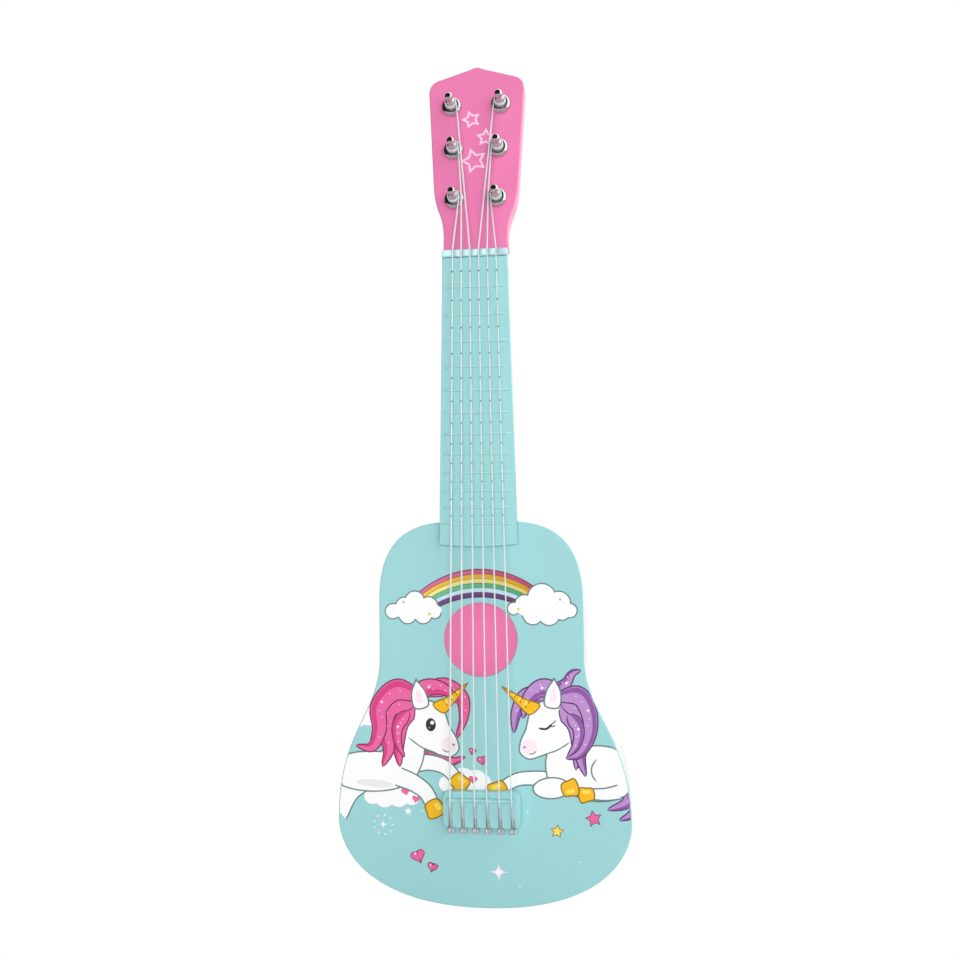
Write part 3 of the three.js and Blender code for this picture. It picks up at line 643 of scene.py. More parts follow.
for number, radius in enumerate(STRING_RADII):
    route = string_route(number)
    run = tube(rounded(route, 1.2), radius)
    new_piece(f"string_run_{number + 1}", run, nylon_string, f"string_{number + 1}")
    wrap_end = route[0] + (route[1] - route[0]) * WRAP_SHARE
    wrap = tube(helix(route[0], wrap_end, radius + 0.16, WRAP_TURNS), 0.24, 6)
    points, faces = ball_surface()
    ends = joined(wrap, (points + route[0], faces))
    new_piece(f"string_end_{number + 1}", ends, end_wire)

# ---- Nut ----
# A pale bar of moulded plastic with a rounded top edge and six saw slots that space the strings.
pale_nut = sprayed("pale_nut", (201, 237, 242), 0.4, 0.02, 0.0, 0.06)


def nut_surface(corner=1.1):
    """A grid along the bar and round its rounded section. In a slot the section's front is held back to the
    slot's floor, and two columns close together make each slot's wall."""
    places = [nut_low[0], nut_low[0] + 0.3, nut_high[0] - 0.3, nut_high[0]]
    middles = [string_x(number, (nut_low[2] + nut_high[2]) / 2) for number in range(6)]
    for middle, radius in zip(middles, STRING_RADII):
        wide = radius + 0.15
        places += [middle - wide - 0.05, middle - wide, middle, middle + wide, middle + wide + 0.05]
    x = np.sort(np.array(places))
    slot = np.zeros(len(x), bool)
    for middle, radius in zip(middles, STRING_RADII):
        slot |= np.abs(x - middle) < radius + 0.18
    turn = np.linspace(0, np.pi / 2, 7)
    arc_y = nut_low[1] + corner * (1 - np.cos(turn))
    arc_z = corner * (1 - np.sin(turn))
    y = np.concatenate([[nut_high[1]], arc_y[::-1], arc_y, [nut_high[1]]])
    z = np.concatenate([[nut_low[2]], nut_low[2] + arc_z[::-1], nut_high[2] - arc_z, [nut_high[2]]])
    depth = np.where(slot[:, None], np.maximum(y, UNDER_AT_NUT + 0.05), y)
    points = np.stack([np.broadcast_to(x[:, None], depth.shape), depth, np.broadcast_to(z, depth.shape)], -1)
    return points.reshape(-1, 3), capped_grid(len(x), len(y))


new_piece("nut_slotted", nut_surface(), pale_nut, "nut")

# ---- Bridge and saddle ----
# A painted block glued on the soundboard, notched along its lower edge for the strings' balls to pull
# against, and a strip let into its top that the strings bear on.
bridge_low, bridge_high = node_box("bridge")
NOTCH_HALF, NOTCH_LENGTH = 1, 5.5
CORNER = 4


def bridge_outline():
    """A rectangle with quarter-circle corners, whose lower edge steps in at each string."""
    foot = [(bridge_low[0] + CORNER, bridge_low[2])]
    for number in range(6):
        middle = string_x(number, bridge_low[2])
        left, right = middle - NOTCH_HALF, middle + NOTCH_HALF
        top = bridge_low[2] + NOTCH_LENGTH
        foot += [(left, bridge_low[2]), (left, top), (right, top), (right, bridge_low[2])]
    left, right = bridge_low[0] + CORNER, bridge_high[0] - CORNER
    low, high = bridge_low[2] + CORNER, bridge_high[2] - CORNER
    arcs = []
    for x, z, begin in ((right, low, -90), (right, high, 0), (left, high, 90), (left, low, 180)):
        turn = np.radians(np.linspace(begin, begin + 90, 10))
        arcs.append(np.stack([x + CORNER * np.cos(turn), z + CORNER * np.sin(turn)], -1))
    arcs[-1] = arcs[-1][:-1]
    return np.vstack([foot, *arcs])


bridge = slab([bridge_outline()], bridge_low[1], bridge_high[1], 0.35, 4)
new_piece("bridge_painted", bridge, teal_paint, "bridge")


def saddle_surface(roll=1.2):
    """A grid along the strip and round its section, a half circle in front of two flat cheeks."""
    turn = np.linspace(0, np.pi, 13)
    middle = (saddle_low[2] + saddle_high[2]) / 2
    y = np.concatenate([[saddle_high[1]], saddle_low[1] + roll * (1 - np.sin(turn)), [saddle_high[1]]])
    z = np.concatenate([[saddle_low[2]], middle - roll * np.cos(turn), [saddle_high[2]]])
    x = np.array([saddle_low[0], saddle_high[0]])
    points = np.stack(np.broadcast_arrays(x[:, None], y, z), -1)
    return points.reshape(-1, 3), capped_grid(2, len(y))


saddle_piece = new_piece("saddle_strip", saddle_surface(), teal_paint, "saddle")
ease_edges(saddle_piece, 0.3)

# ---- Headstock ----
# A flat board of hardwood sprayed pink, glued to the neck's end so that it leans back, with a bored hole
# for each peg.
PINK = (238, 130, 180)
HEAD_THICKNESS = 12.5
HEAD_LENGTH, SIDE_LENGTH = 126, 109
HALF_AT_NUT, HALF_AT_FLARE, HALF_AT_TOP = 20.4, 27.4, 31
FLARE_START, FLARE_END = 8, 48
BORE_RADIUS = POST_RADIUS + 0.15
pink_paint = sprayed("pink_paint", PINK)


def head_outline(steps=20):
    """The right side from the nut up: straight, a flare, a slight taper, a rounded shoulder, a straight
    slope and a rounded peak; then its mirror image. A bend with one control point is a quadratic curve."""

    def bend(start, control, end, steps):
        start, control, end = (np.array(point, float) for point in (start, control, end))
        return bezier(start, (start + 2 * control) / 3, (end + 2 * control) / 3, end, steps)

    flare = (HALF_AT_NUT, FLARE_START), (HALF_AT_NUT, 28), (26.4, 24), (HALF_AT_FLARE, FLARE_END)
    side = np.vstack(
        [
            [(HALF_AT_NUT, 0)],
            bezier(*flare, steps),
            flare[-1:],
            bend((HALF_AT_TOP, SIDE_LENGTH), (HALF_AT_TOP, 116), (25.5, 118), 10),
            [(25.5, 118)],
            bend((4, 124.75), (4 / 3, HEAD_LENGTH), (0, HEAD_LENGTH), 8),
            [(0, HEAD_LENGTH)],
        ]
    )
    return np.vstack([side, side[-2::-1] * (-1, 1)])


def headstock_surface():
    """The bored slab, whose foot is sheared to stay level where it meets the neck, then leaned back."""
    loops = [head_outline()] + [circle(peg, BORE_RADIUS, 32) for peg in pegs]
    points, faces = slab(loops, 0, HEAD_THICKNESS, 0.8)
    near_foot = np.clip(1 - points[:, 2] / FLARE_START, 0, 1)
    points[:, 2] += near_foot * points[:, 1] * math.tan(TILT)
    return lean(points), faces


new_piece("headstock_painted", headstock_surface(), pink_paint, "headstock")

# ---- Tuning pegs ----
# Each peg is a chromed post that turns in a domed washer, with the string wound round it in front, and
# an ear-shaped pearl button screwed on behind.
chrome = build_metal_material("peg_chrome", (214, 214, 214), 0.06, 0.05)
pearl_plastic = sprayed("pearl_plastic", (243, 238, 242), 0.25, 0.06, 0.0, 0.05, Coat_Weight=0.4)
BUTTON_FRONT = HEAD_THICKNESS + SOFT_GAP
POST_END = BUTTON_FRONT + 12
EAR_HALF = 3.25


def turned_shape(profile, sides=48):
    """A profile of (radius, height) turned about the peg's axis; height runs out from the face. One that
    ends where it starts is a ring, and any other is closed by a small flat face at each end."""
    profile = np.array(profile, float)
    turn = np.linspace(0, 2 * np.pi, sides, endpoint=False)[None, :]
    reach, height = profile[:, :1], profile[:, 1:]
    points = np.stack(np.broadcast_arrays(reach * np.cos(turn), -height, reach * np.sin(turn)), -1)
    if np.allclose(profile[0], profile[-1]):
        return points[:-1].reshape(-1, 3), grid_faces(len(profile) - 1, sides, close_rows=True)
    return points.reshape(-1, 3), capped_grid(len(profile), sides)


def arc(centre, radius, begin, end, steps=8):
    """Points of a circular arc in a profile, angles in degrees from the outward direction."""
    turn = np.radians(np.linspace(begin, end, steps))
    return [(centre[0] + radius * math.cos(a), centre[1] + radius * math.sin(a)) for a in turn]


def post_profile():
    """Straight barrel, a slight waist, then a button cap with a domed top; the tail behind is thinner."""
    return [
        (0.02, -POST_END),
        (2.0, -POST_END),
        (2.2, -POST_END + 0.2),
        (2.2, -BUTTON_FRONT),
        (POST_RADIUS, -BUTTON_FRONT),
        (POST_RADIUS, 8.8),
        *arc((POST_RADIUS - 1, 8.8), 1, 0, 60, 5),
        (1.9, 10),
        (1.9, 11.2),
        *arc((1.9, 11.8), 0.6, -90, 0, 5),
        (2.5, 12.6),
        (2.5, 14.05),
        *arc((0.75, 14.05), 1.75, 0, 90, 10),
        (0.02, 15.8),
    ]


def bushing_profile():
    """A washer with a thin lip and a domed crown, open in the middle for the post."""
    inner = POST_RADIUS + 0.15
    turn = np.radians(np.linspace(0, 90, 18))
    dome = [(4.0 + 2.45 * math.cos(a), SOFT_GAP + 1.1 + 2.3 * math.sin(a)) for a in turn]
    return [
        (inner, SOFT_GAP),
        (6.5, SOFT_GAP),
        (6.6, SOFT_GAP + 0.15),
        (6.6, SOFT_GAP + 0.75),
        (6.5, SOFT_GAP + 0.95),
        *dome,
        (inner + 0.2, SOFT_GAP + 3.4),
        (inner, SOFT_GAP + 3.2),
        (inner, SOFT_GAP),
    ]


def button_outline():
    """The paddle's outline, across and back from its front end: narrow, swelling to round ears."""
    half, waist, length = 9.5, 4.2, 16
    side = np.vstack(
        [
            bezier((waist, 0), (waist, length * 0.28), (half, length * 0.28), (half, length * 0.6), 16),
            bezier((half, length * 0.6), (half, length - 1), (waist + 1, length), (waist, length), 16),
            [(waist, length)],
        ]
    )
    return np.vstack([side, side[::-1] * (-1, 1)])


def winding_path(radius, side):
    """A level ring at the string's height, then two turns towards the face a string's width apart."""
    reach = POST_RADIUS + radius + 0.02
    steps = 32
    turn = np.linspace(0, 2 * np.pi * 3, 3 * steps + 1)
    drop = np.clip(turn / (2 * np.pi) - 1, 0, None) * 2 * radius
    return np.stack([side * reach * np.cos(turn), drop - STRING_HEIGHT, reach * np.sin(turn)], -1)


def ear_surface():
    """The paddle's slab, stood on edge behind the headstock."""
    points, faces = slab([button_outline()], -EAR_HALF, EAR_HALF, 1.8, 7)
    return points[:, (0, 2, 1)] + (0, BUTTON_FRONT, 0), faces


for number, (across, up) in enumerate(pegs):
    body, radius = f"peg_{number + 1}", STRING_RADII[number]
    winding = tube(winding_path(radius, -math.copysign(1, across)), radius, 8)
    for name, shape, material, node, owner in (
        ("peg_post_turned", turned_shape(post_profile()), chrome, "peg_post", body),
        ("peg_washer", turned_shape(bushing_profile()), chrome, "peg_bushing", "guitar_body"),
        ("peg_ear", ear_surface(), pearl_plastic, "peg_button", body),
        ("string_winding", winding, nylon_string, None, body),
    ):
        placed = lean(shape[0] + (across, 0, up)), shape[1]
        new_piece(f"{name}_{number + 1}", placed, material, node and f"{node}_{number + 1}", owner)

# ---- Printed picture on the soundboard ----
# Flat inks screen printed over the teal one after another: a rainbow between two clouds, and two plain
# unicorns that face each other among hearts and stars. Each ink lies a hair's breadth on the one below.
INK_STEP = 0.01
WHITE, PALE_GREY, BLUSH = (255, 255, 255), (238, 239, 236), (255, 234, 244)
INK_LINE, BLACK = (104, 128, 130), (48, 46, 50)
BUTTER, AMBER, UMBER = (255, 224, 92), (250, 190, 28), (140, 104, 24)
ROSE, CRIMSON, MAROON, PALE_ROSE = (238, 104, 164), (219, 66, 134), (132, 48, 92), (255, 206, 232)
LILAC, VIOLET, PLUM, PALE_LILAC = (192, 144, 206), (146, 88, 166), (92, 52, 110), (238, 216, 246)
ROSE_HAIR, LILAC_HAIR = (ROSE, CRIMSON, MAROON, PALE_ROSE), (LILAC, VIOLET, PLUM, PALE_LILAC)
CREAM, GOLD, SKY_WHITE = (250, 236, 190), (226, 180, 70), (216, 242, 244)
PRINT_SINK = 0.2


def through(points, closed=True, steps=8):
    """A smooth curve through points. Each span is a cubic whose end slopes are the mean direction of the two
    chords that meet there, the shorter chord counting more; a point with a third value is a sharp corner."""
    sharp = np.array([len(point) > 2 for point in points])
    place = np.array([point[:2] for point in points], float)
    if not closed:
        sharp[[0, -1]] = True
    chord = np.roll(place, -1, 0) - place
    length = np.linalg.norm(chord, axis=1, keepdims=True)
    direction = chord / length
    before, before_length = np.roll(direction, 1, 0), np.roll(length, 1, 0)
    mean = (before * length + direction * before_length) / (length + before_length)
    leaving = np.where(sharp[:, None], direction, mean)
    arriving = np.roll(np.where(sharp[:, None], before, mean), -1, 0)
    spans = len(place) if closed else len(place) - 1
    start, end, size = place[:spans, None], np.roll(place, -1, 0)[:spans, None], length[:spans, None]
    t = np.linspace(0, 1, steps, endpoint=False)[None, :, None]
    curve = (
        (2 * t**3 - 3 * t**2 + 1) * start
        + (t**3 - 2 * t**2 + t) * leaving[:spans, None] * size
        + (3 * t**2 - 2 * t**3) * end
        + (t**3 - t**2) * arriving[:spans, None] * size
    ).reshape(-1, 2)
    return curve if closed else np.vstack([curve, place[-1:]])


def signed_area(loop):
    """Half the sum of neighbouring points' cross products: positive for an anticlockwise loop."""
    ahead = np.roll(loop, -1, 0)
    return (loop[:, 0] * ahead[:, 1] - ahead[:, 0] * loop[:, 1]).sum() / 2


def pen_swell(t):
    """A pen line's share of its full width: thin at both ends."""
    return np.clip(3 * np.sin(np.pi * t), 0.25, 1)


def lock_swell(t):
    """A lock of hair's: round at its root, full by a sixth of its length, then tapered to a point."""
    return np.sqrt(np.clip(6 * t, 0, 1)) * np.clip(1 - t, 0, 1) ** 0.6


def limb_swell(t):
    """A leg's: a straight taper."""
    return 1 - 0.25 * t


def hoof_swell(t):
    """A hoof's: wider towards the ground."""
    return 0.86 + 0.26 * t


def ribbon(points, width, swell=pen_swell, extra=0.0, shift=0.0):
    """The left and right edges of a band along a smooth open curve: its width times the swell, plus an even
    extra on both sides. A shift carries the band sideways by a share of its width."""
    path = through(points, closed=False)
    ahead = np.gradient(path, axis=0)
    ahead /= np.linalg.norm(ahead, axis=1, keepdims=True)
    side = np.stack([-ahead[:, 1], ahead[:, 0]], -1)
    full = (width * swell(np.linspace(0, 1, len(path))))[:, None]
    half = np.maximum(full / 2 + extra, 0.02)
    path = path + side * full * shift
    return np.stack([path + side * half, path - side * half], 1)


def grown(shape, extra):
    """A shape made larger all round: a loop of points, or a ribbon's own points, width and swell."""
    if isinstance(shape, tuple):
        return ribbon(*shape, extra=extra)
    return inset(shape if signed_area(shape) > 0 else shape[::-1], -extra)


def turned(points, degrees, place):
    """Points turned anticlockwise about the origin, then moved to a place."""
    a = math.radians(degrees)
    turn = np.array([[math.cos(a), math.sin(a)], [-math.sin(a), math.cos(a)]])
    return np.asarray(points) @ turn + place


def oval(x, z, wide, tall, lean_degrees=0, steps=36):
    """An ellipse of two half sizes, turned about its middle."""
    return turned(circle((0, 0), 1, steps) * (wide, tall), lean_degrees, (x, z))


class Sheet:
    """The inks of one printed face, in the order they are laid."""

    def __init__(self, trim=None):
        self.inks, self.trim, self.across = [], trim, 1

    def fill(self, shape, colour, to=None, ring=False):
        """One flat ink inside a loop of points or between the two edges of a band, which may close in a
        ring. With a second colour it blends across from left to right."""
        shape = np.array(shape, float)[..., :2] * (self.across, 1)
        if self.trim is not None:
            trimmed = self.trim(shape)
            if shape.ndim == 3:
                trimmed = trimmed[(trimmed == shape).all(-1).any(-1)]
            shape = trimmed
        if shape.ndim == 3:
            shape = shape[:, :: self.across]
        elif signed_area(shape) < 0:
            shape = shape[::-1]
        if len(shape) < 2 or (shape.ndim == 2 and signed_area(shape) < 0.01):
            return
        low, high = shape.reshape(-1, 2).min(0), shape.reshape(-1, 2).max(0)
        below = [ink[4] for ink in self.inks if (ink[2] < high).all() and (ink[3] > low).all()]
        level = 1 + max(below, default=0)
        share = (shape[..., :1] - low[0]) / (high[0] - low[0])
        tint = np.array(linear(*colour)) * (1 - share) + np.array(linear(*(to or colour))) * share
        self.inks.append((shape, tint, low, high, level, ring))

    def merged(self, shapes, colour, ink, line=0.9):
        """Several shapes as one figure with one outline: first all of them a little larger in the line's
        ink, then all of them a little smaller in their own."""
        for shape in shapes:
            self.fill(grown(shape, line / 2), ink)
        for shape in shapes:
            self.fill(grown(shape, -line / 2), colour)

    def stroke(self, points, ink=INK_LINE, width=0.8):
        """A pen line that thins to its ends."""
        self.fill(ribbon(points, width), ink)

    def dots(self, places, radius, colour):
        """Small round specks."""
        for place in places:
            self.fill(circle(place, radius, 12), colour)

    def print_on(self, name, face, material, place=np.asarray):
        """Makes the sheet one mesh: each ink a thin prism whose front stands on the ink below it. A loop's
        prism is two rows of points with caps, and a band's is a tube of four corners along it."""
        points, faces, tints, start = [], [], [], 0
        for shape, tint, _, _, level, ring in self.inks:
            front, back = face - INK_STEP * (level + 1), face + PRINT_SINK
            count = len(shape)
            if shape.ndim == 2:
                solid = np.stack([np.insert(shape, 1, depth, 1) for depth in (back, front)])
                tints.append(np.stack([tint, tint]).reshape(-1, 4))
                made = grid_faces(2, count) + [list(range(count))[::-1], list(range(count, 2 * count))]
            else:
                left, right = shape[:, 0], shape[:, 1]
                corners = ((left, front), (right, front), (right, back), (left, back))
                solid = np.stack([np.insert(edge, 1, depth, 1) for edge, depth in corners], 1)
                tints.append(tint[:, (0, 1, 1, 0)].reshape(-1, 4))
                made = grid_faces(count, 4, close_rows=ring)
                if not ring:
                    made += [[3, 2, 1, 0], [4 * count - 4 + corner for corner in range(4)]]
            faces += [[corner + start for corner in one] for one in made]
            points.append(solid.reshape(-1, 3))
            start += len(points[-1])
        mesh = bpy.data.meshes.new(name)
        mesh.from_pydata((place(np.vstack(points)) * MM).tolist(), [], faces)
        tint = mesh.color_attributes.new("ink", "FLOAT_COLOR", "POINT")
        tint.data.foreach_set("color", np.vstack(tints).astype(np.float32).ravel())
        piece = in_scene(name, mesh, material)
        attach(piece, "guitar_body")


def printed_ink(name):
    """Ink whose colour comes from the mesh's own ink attribute, over the grain of the sprayed wood."""
    material = sprayed(name, WHITE, 0.38, 0.02, 0.12, 0.06)
    tree = material.node_tree
    tint = add_node(tree, "ShaderNodeAttribute", attribute_name="ink")
    finish = [node for node in tree.nodes if node.type == "GROUP"][0]
    tree.links.new(tint.outputs["Color"], finish.inputs["Colour"])
    return material


def keep_on_board(points):
    """Points past the body's edge, moved across to just inside the rounding of its edge."""
    right = outline[: len(outline) // 2 + 1]
    limit = np.interp(points[..., 1], right[:, 1], inset(outline, EDGE_RADIUS)[: len(right), 0])
    return np.stack([np.clip(points[..., 0], -limit, limit), points[..., 1]], -1)


def heart(x, z, size, lean_degrees=0):
    """A heart: the sine cubed across, and a sum of cosines up, turned about its middle."""
    t = np.linspace(0, 2 * np.pi, 40, endpoint=False)
    up = 13 * np.cos(t) - 5 * np.cos(2 * t) - 2 * np.cos(3 * t) - np.cos(4 * t)
    return turned(np.stack([16 * np.sin(t) ** 3, up], -1)[::-1] * size / 32, lean_degrees, (x, z))


def star(x, z, radius, lean_degrees=0, waist=0.5):
    """A five-pointed star: out at the radius and in at a share of it, by turns."""
    turn = np.radians(90 + lean_degrees) + np.arange(10) * np.pi / 5
    reach = np.where(np.arange(10) % 2 == 0, radius, radius * waist)
    return np.stack([x + reach * np.cos(turn), z + reach * np.sin(turn)], -1)


def sparkle(x, z, radius):
    """Four points joined by inward curves: the fifth powers of the cosine and the sine."""
    t = np.linspace(0, 2 * np.pi, 32, endpoint=False)
    return np.stack([x + radius * np.cos(t) ** 5, z + radius * np.sin(t) ** 5], -1)


picture = Sheet(keep_on_board)

# Rainbow: six bands, each the same arc set one band lower, with a thin dark line along each edge.
RAINBOW = (
    ((226, 116, 168), (176, 68, 100)),
    ((252, 200, 72), (202, 148, 26)),
    ((255, 244, 158), (214, 196, 104)),
    ((126, 200, 162), (62, 156, 112)),
    ((206, 236, 244), (190, 222, 236)),
    ((124, 74, 136), (98, 58, 108)),
)
RAINBOW_LINES = (
    (128, 66, 100),
    (150, 70, 60),
    (170, 130, 40),
    (90, 130, 90),
    (90, 150, 140),
    (110, 90, 140),
    (76, 50, 92),
)
ARC_RADIUS, BAND, CREST = 59, 2.85, 209.3
across = np.linspace(-40, 36, 40)
crest = CREST - ARC_RADIUS + np.sqrt(ARC_RADIUS**2 - (across + 1) ** 2) + across * 0.018
for number, (left, right) in enumerate(RAINBOW):
    top = np.stack([across, crest - number * BAND], -1)
    picture.fill(np.stack([top, top - (0, BAND)], 1), left, right)
for number, colour in enumerate(RAINBOW_LINES):
    line = np.stack([across, crest - number * BAND], -1)
    half = 0.38 if number in (0, 6) else 0.2
    picture.fill(np.stack([line + (0, half), line - (0, half)], 1), colour)

# Clouds are round puffs. The two that hold the rainbow are outlined, and those behind the animals are not.
LEFT_PUFFS = ((-55.5, 183.3, 4.8), (-48, 186.5, 5.6), (-41.3, 189.8, 6.2), (-32.5, 186.6, 5.8))
LEFT_PUFFS += ((-28.5, 182.4, 3.8), (-36, 181, 5.6), (-46, 181, 5.6))
RIGHT_PUFFS = ((21, 184.8, 3.9), (28, 187.2, 6.2), (38.6, 191.4, 8.9), (49.2, 188.3, 7.2))
RIGHT_PUFFS += ((56, 183.6, 4.4), (33, 181.2, 6.4), (43, 181, 6.6), (51, 183, 5.4))
for puffs in (LEFT_PUFFS, RIGHT_PUFFS):
    picture.merged([circle((x, z), radius, 40) for x, z, radius in puffs], WHITE, INK_LINE, 0.8)
    picture.fill(oval(np.mean([puff[0] for puff in puffs]), 184, 17, 5.5), WHITE)
picture.dots([(-48.5, 189), (50, 190.5)], 0.9, (206, 184, 214))
picture.dots([(-32, 181.5), (24, 184.5)], 1.3, CREAM)
picture.dots([(-32, 181.5), (24, 184.5)], 0.6, GOLD)
SPECKS = [(48, 187.5), (52.5, 188.5), (-55, 184.5), (-51, 180), (35, 180), (46, 192)]
picture.dots(SPECKS, 0.45, (226, 214, 232))
BACK_PUFFS = (
    ((-79, 117, 6.5), (-72, 117.5, 6), (-68, 116, 4.4)),
    ((-70, 67.5, 5), (-62, 67, 6.4), (-53, 67, 6), (-45, 68, 5.6)),
    ((-22.5, 76, 4.8), (-12, 79, 7.2), (-4, 78, 7), (1.6, 77.6, 4)),
)
for puffs in BACK_PUFFS:
    for x, z, radius in puffs:
        picture.fill(circle((x, z), radius, 32), WHITE)
picture.fill(heart(-48.5, 71, 5.6, 12), ROSE)
picture.fill(heart(-42, 66.3, 5, -10), ROSE)
picture.fill(heart(-5.8, 79, 5.6, -8), ROSE)

# Each animal is drawn about its own eye and set in place by a turn and a shift. The one on the right is
# drawn as its mirror image would be, then turned over.
HEAD = through(
    [(-14, 7), (-8, 14), (1, 14.5), (8, 9), (12, -1), (16.5, -9), (17.5, -15), (13, -19.5), (5, -18.5)]
    + [(-4, -15.5), (-12, -9), (-16, -1)]
)
EAR = through([(-9.5, 10), (-12, 19), (-9, 28, 1), (-3, 20), (-1.5, 12)])
EAR_INSIDE = through([(-8, 13.5), (-9.2, 18.5), (-8.2, 23.5, 1), (-5.4, 18.5), (-5, 14)])
HORN = through([(1.6, 12.6), (10, 17.2), (24, 26.5, 1), (14.5, 13.4), (8.6, 7.4)])
HORN_BASE, HORN_TIP = (5.2, 10.2), (24, 26.5)
MUZZLE, NOSTRIL, MOUTH = (11.5, -12.5), (14.3, -12.2), [(7, -15), (9.4, -16.6), (12, -16.4)]
LID = [(-4.6, 0.6), (-0.6, -2.2), (4.2, -1.4)]
LASHES = ([(-4.2, 0.3), (-5.8, 1.2), (-7, 2.4)], [(-2.8, -0.8), (-4.6, -1.2), (-6.4, -0.6)])


def draw_horn(base, tip):
    """A gold horn's rings, each a curved line across it with a glint above, smaller towards the tip."""
    along = (tip - base) / np.linalg.norm(tip - base)
    side = np.array([-along[1], along[0]])
    slope = math.degrees(math.atan2(along[1], along[0]))
    for share in (0.2, 0.38, 0.56, 0.72):
        middle, half = base + (tip - base) * share, 3.4 * (1 - share)
        picture.stroke([middle - side * half, middle + along * 0.8, middle + side * half], UMBER, 0.6)
        picture.fill(oval(*(middle + along * 1.6), 0.9 * (1 - share) + 0.3, half * 0.55, slope), BUTTER)


def draw_head(eye, lean_degrees, asleep):
    """Ear, horn, eye and muzzle over a white head."""
    picture.fill(turned(EAR_INSIDE, lean_degrees, eye), BLUSH)
    picture.merged([turned(HORN, lean_degrees, eye)], AMBER, UMBER, 0.7)
    draw_horn(turned(HORN_BASE, lean_degrees, eye), turned(HORN_TIP, lean_degrees, eye))
    picture.fill(oval(*turned(MUZZLE, lean_degrees, eye), 5, 5), BLUSH)
    picture.dots([turned(NOSTRIL, lean_degrees, eye)], 0.7, (130, 104, 118))
    picture.stroke(turned(MOUTH, lean_degrees, eye), INK_LINE, 0.6)
    if asleep:
        picture.stroke(turned(LID, lean_degrees, eye), BLACK, 1.3)
        for lash in LASHES:
            picture.stroke(turned(lash, lean_degrees, eye), BLACK, 0.6)
    else:
        picture.fill(oval(*eye, 3.2, 4.1, lean_degrees), BLACK)
        picture.dots([(eye[0] + 0.9, eye[1] + 1.3)], 1.25, WHITE)
        picture.dots([(eye[0] - 1, eye[1] - 1.8)], 0.6, (150, 150, 156))


def draw_locks(locks, light, dark, ink, glitter):
    """Tapered locks of hair, each with its outline, a darker inner side and a few glints."""
    for points, width in locks:
        picture.fill(ribbon(points, width, lock_swell, 0.4), ink)
        picture.fill(ribbon(points, width, lock_swell, -0.45), light)
        picture.fill(ribbon(points, width * 0.3, lock_swell, -0.1, shift=-0.9), dark)
        path = through(points, closed=False)
        for share, aside in ((0.18, 0.1), (0.3, 0.28), (0.42, 0.02), (0.5, 0.24), (0.66, 0.1)):
            at = path[int(share * (len(path) - 1))]
            picture.dots([(at[0] + aside * width * 0.6, at[1] + (aside - 0.15) * width)], 0.42, glitter)
        at = path[int(0.36 * (len(path) - 1))]
        picture.fill(sparkle(*at, 2.1), WHITE)


def draw_hoof(path, width):
    """A gold hoof: a smooth loop through the corners and the middles of a short band's two edges, with a
    lighter stripe."""
    edges = ribbon(path, width, hoof_swell)
    row = len(edges) // 2
    loop = np.vstack([edges[(0, row, -1), 0], edges[(-1, row, 0), 1]])
    picture.merged([through(loop.tolist())], AMBER, UMBER, 0.8)
    middle = edges[row].mean(0)
    ends = [middle + (np.array(end) - middle) * 0.7 for end in path]
    picture.fill(ribbon(ends, width * 0.26, hoof_swell, 0, shift=0.8), BUTTER)


def draw_leg(points, width, hoof):
    """A tapering white leg that ends in a hoof."""
    picture.merged([(points, width, limb_swell)], WHITE, INK_LINE)
    draw_hoof(hoof, width * 0.98)


# The left animal steps forward with a rose mane.
left_eye = np.array([-32.0, 112.5])
draw_locks(
    [
        ([(-36, 132), (-22, 136), (-12, 129), (-11, 118), (-16, 104)], 13),
        ([(-36, 102), (-28, 91), (-18, 90), (-10.5, 93)], 9),
    ],
    *ROSE_HAIR,
)
draw_leg([(-46, 87), (-33, 89), (-23, 86), (-16, 79)], 10.5, [(-17, 80), (-12, 74.5)])
picture.merged([([(-76, 78), (-84, 71), (-92, 55)], 15, limb_swell)], WHITE, INK_LINE)
LEFT_NECK = ((-66, 91), (-57, 103), (-49, 118), (-38, 118), (-36, 104), (-38, 88), (-46, 76), (-60, 76))
left_head = [turned(EAR, 0, left_eye), turned(HEAD, 0, left_eye)]
picture.merged([oval(-70, 83, 29, 12.5), through(LEFT_NECK), *left_head], WHITE, INK_LINE)
picture.fill(oval(-68, 75.4, 12, 2.4, -4), PALE_GREY)
picture.stroke([(-46.5, 104.5), (-38, 98.5), (-28, 94.8)], INK_LINE, 0.8)
draw_leg([(-53, 80), (-43, 76), (-36, 71), (-31.5, 63)], 11.5, [(-32, 64), (-28.5, 57.8)])
draw_locks(
    [
        ([(-44, 126), (-52, 114), (-53, 102), (-52, 86)], 16),
        ([(-42, 126), (-58, 124), (-62, 110), (-59, 97), (-63, 86)], 16),
        ([(-38, 129), (-54, 134), (-65, 123), (-65, 108), (-70, 98), (-80, 99)], 15),
        ([(-46, 121), (-53, 111), (-53, 101), (-49, 92)], 9),
        ([(-42, 130), (-33, 136), (-22, 134), (-15, 126)], 13),
    ],
    *ROSE_HAIR,
)
picture.merged(left_head[:1], WHITE, INK_LINE)
draw_head(left_eye, 0, False)

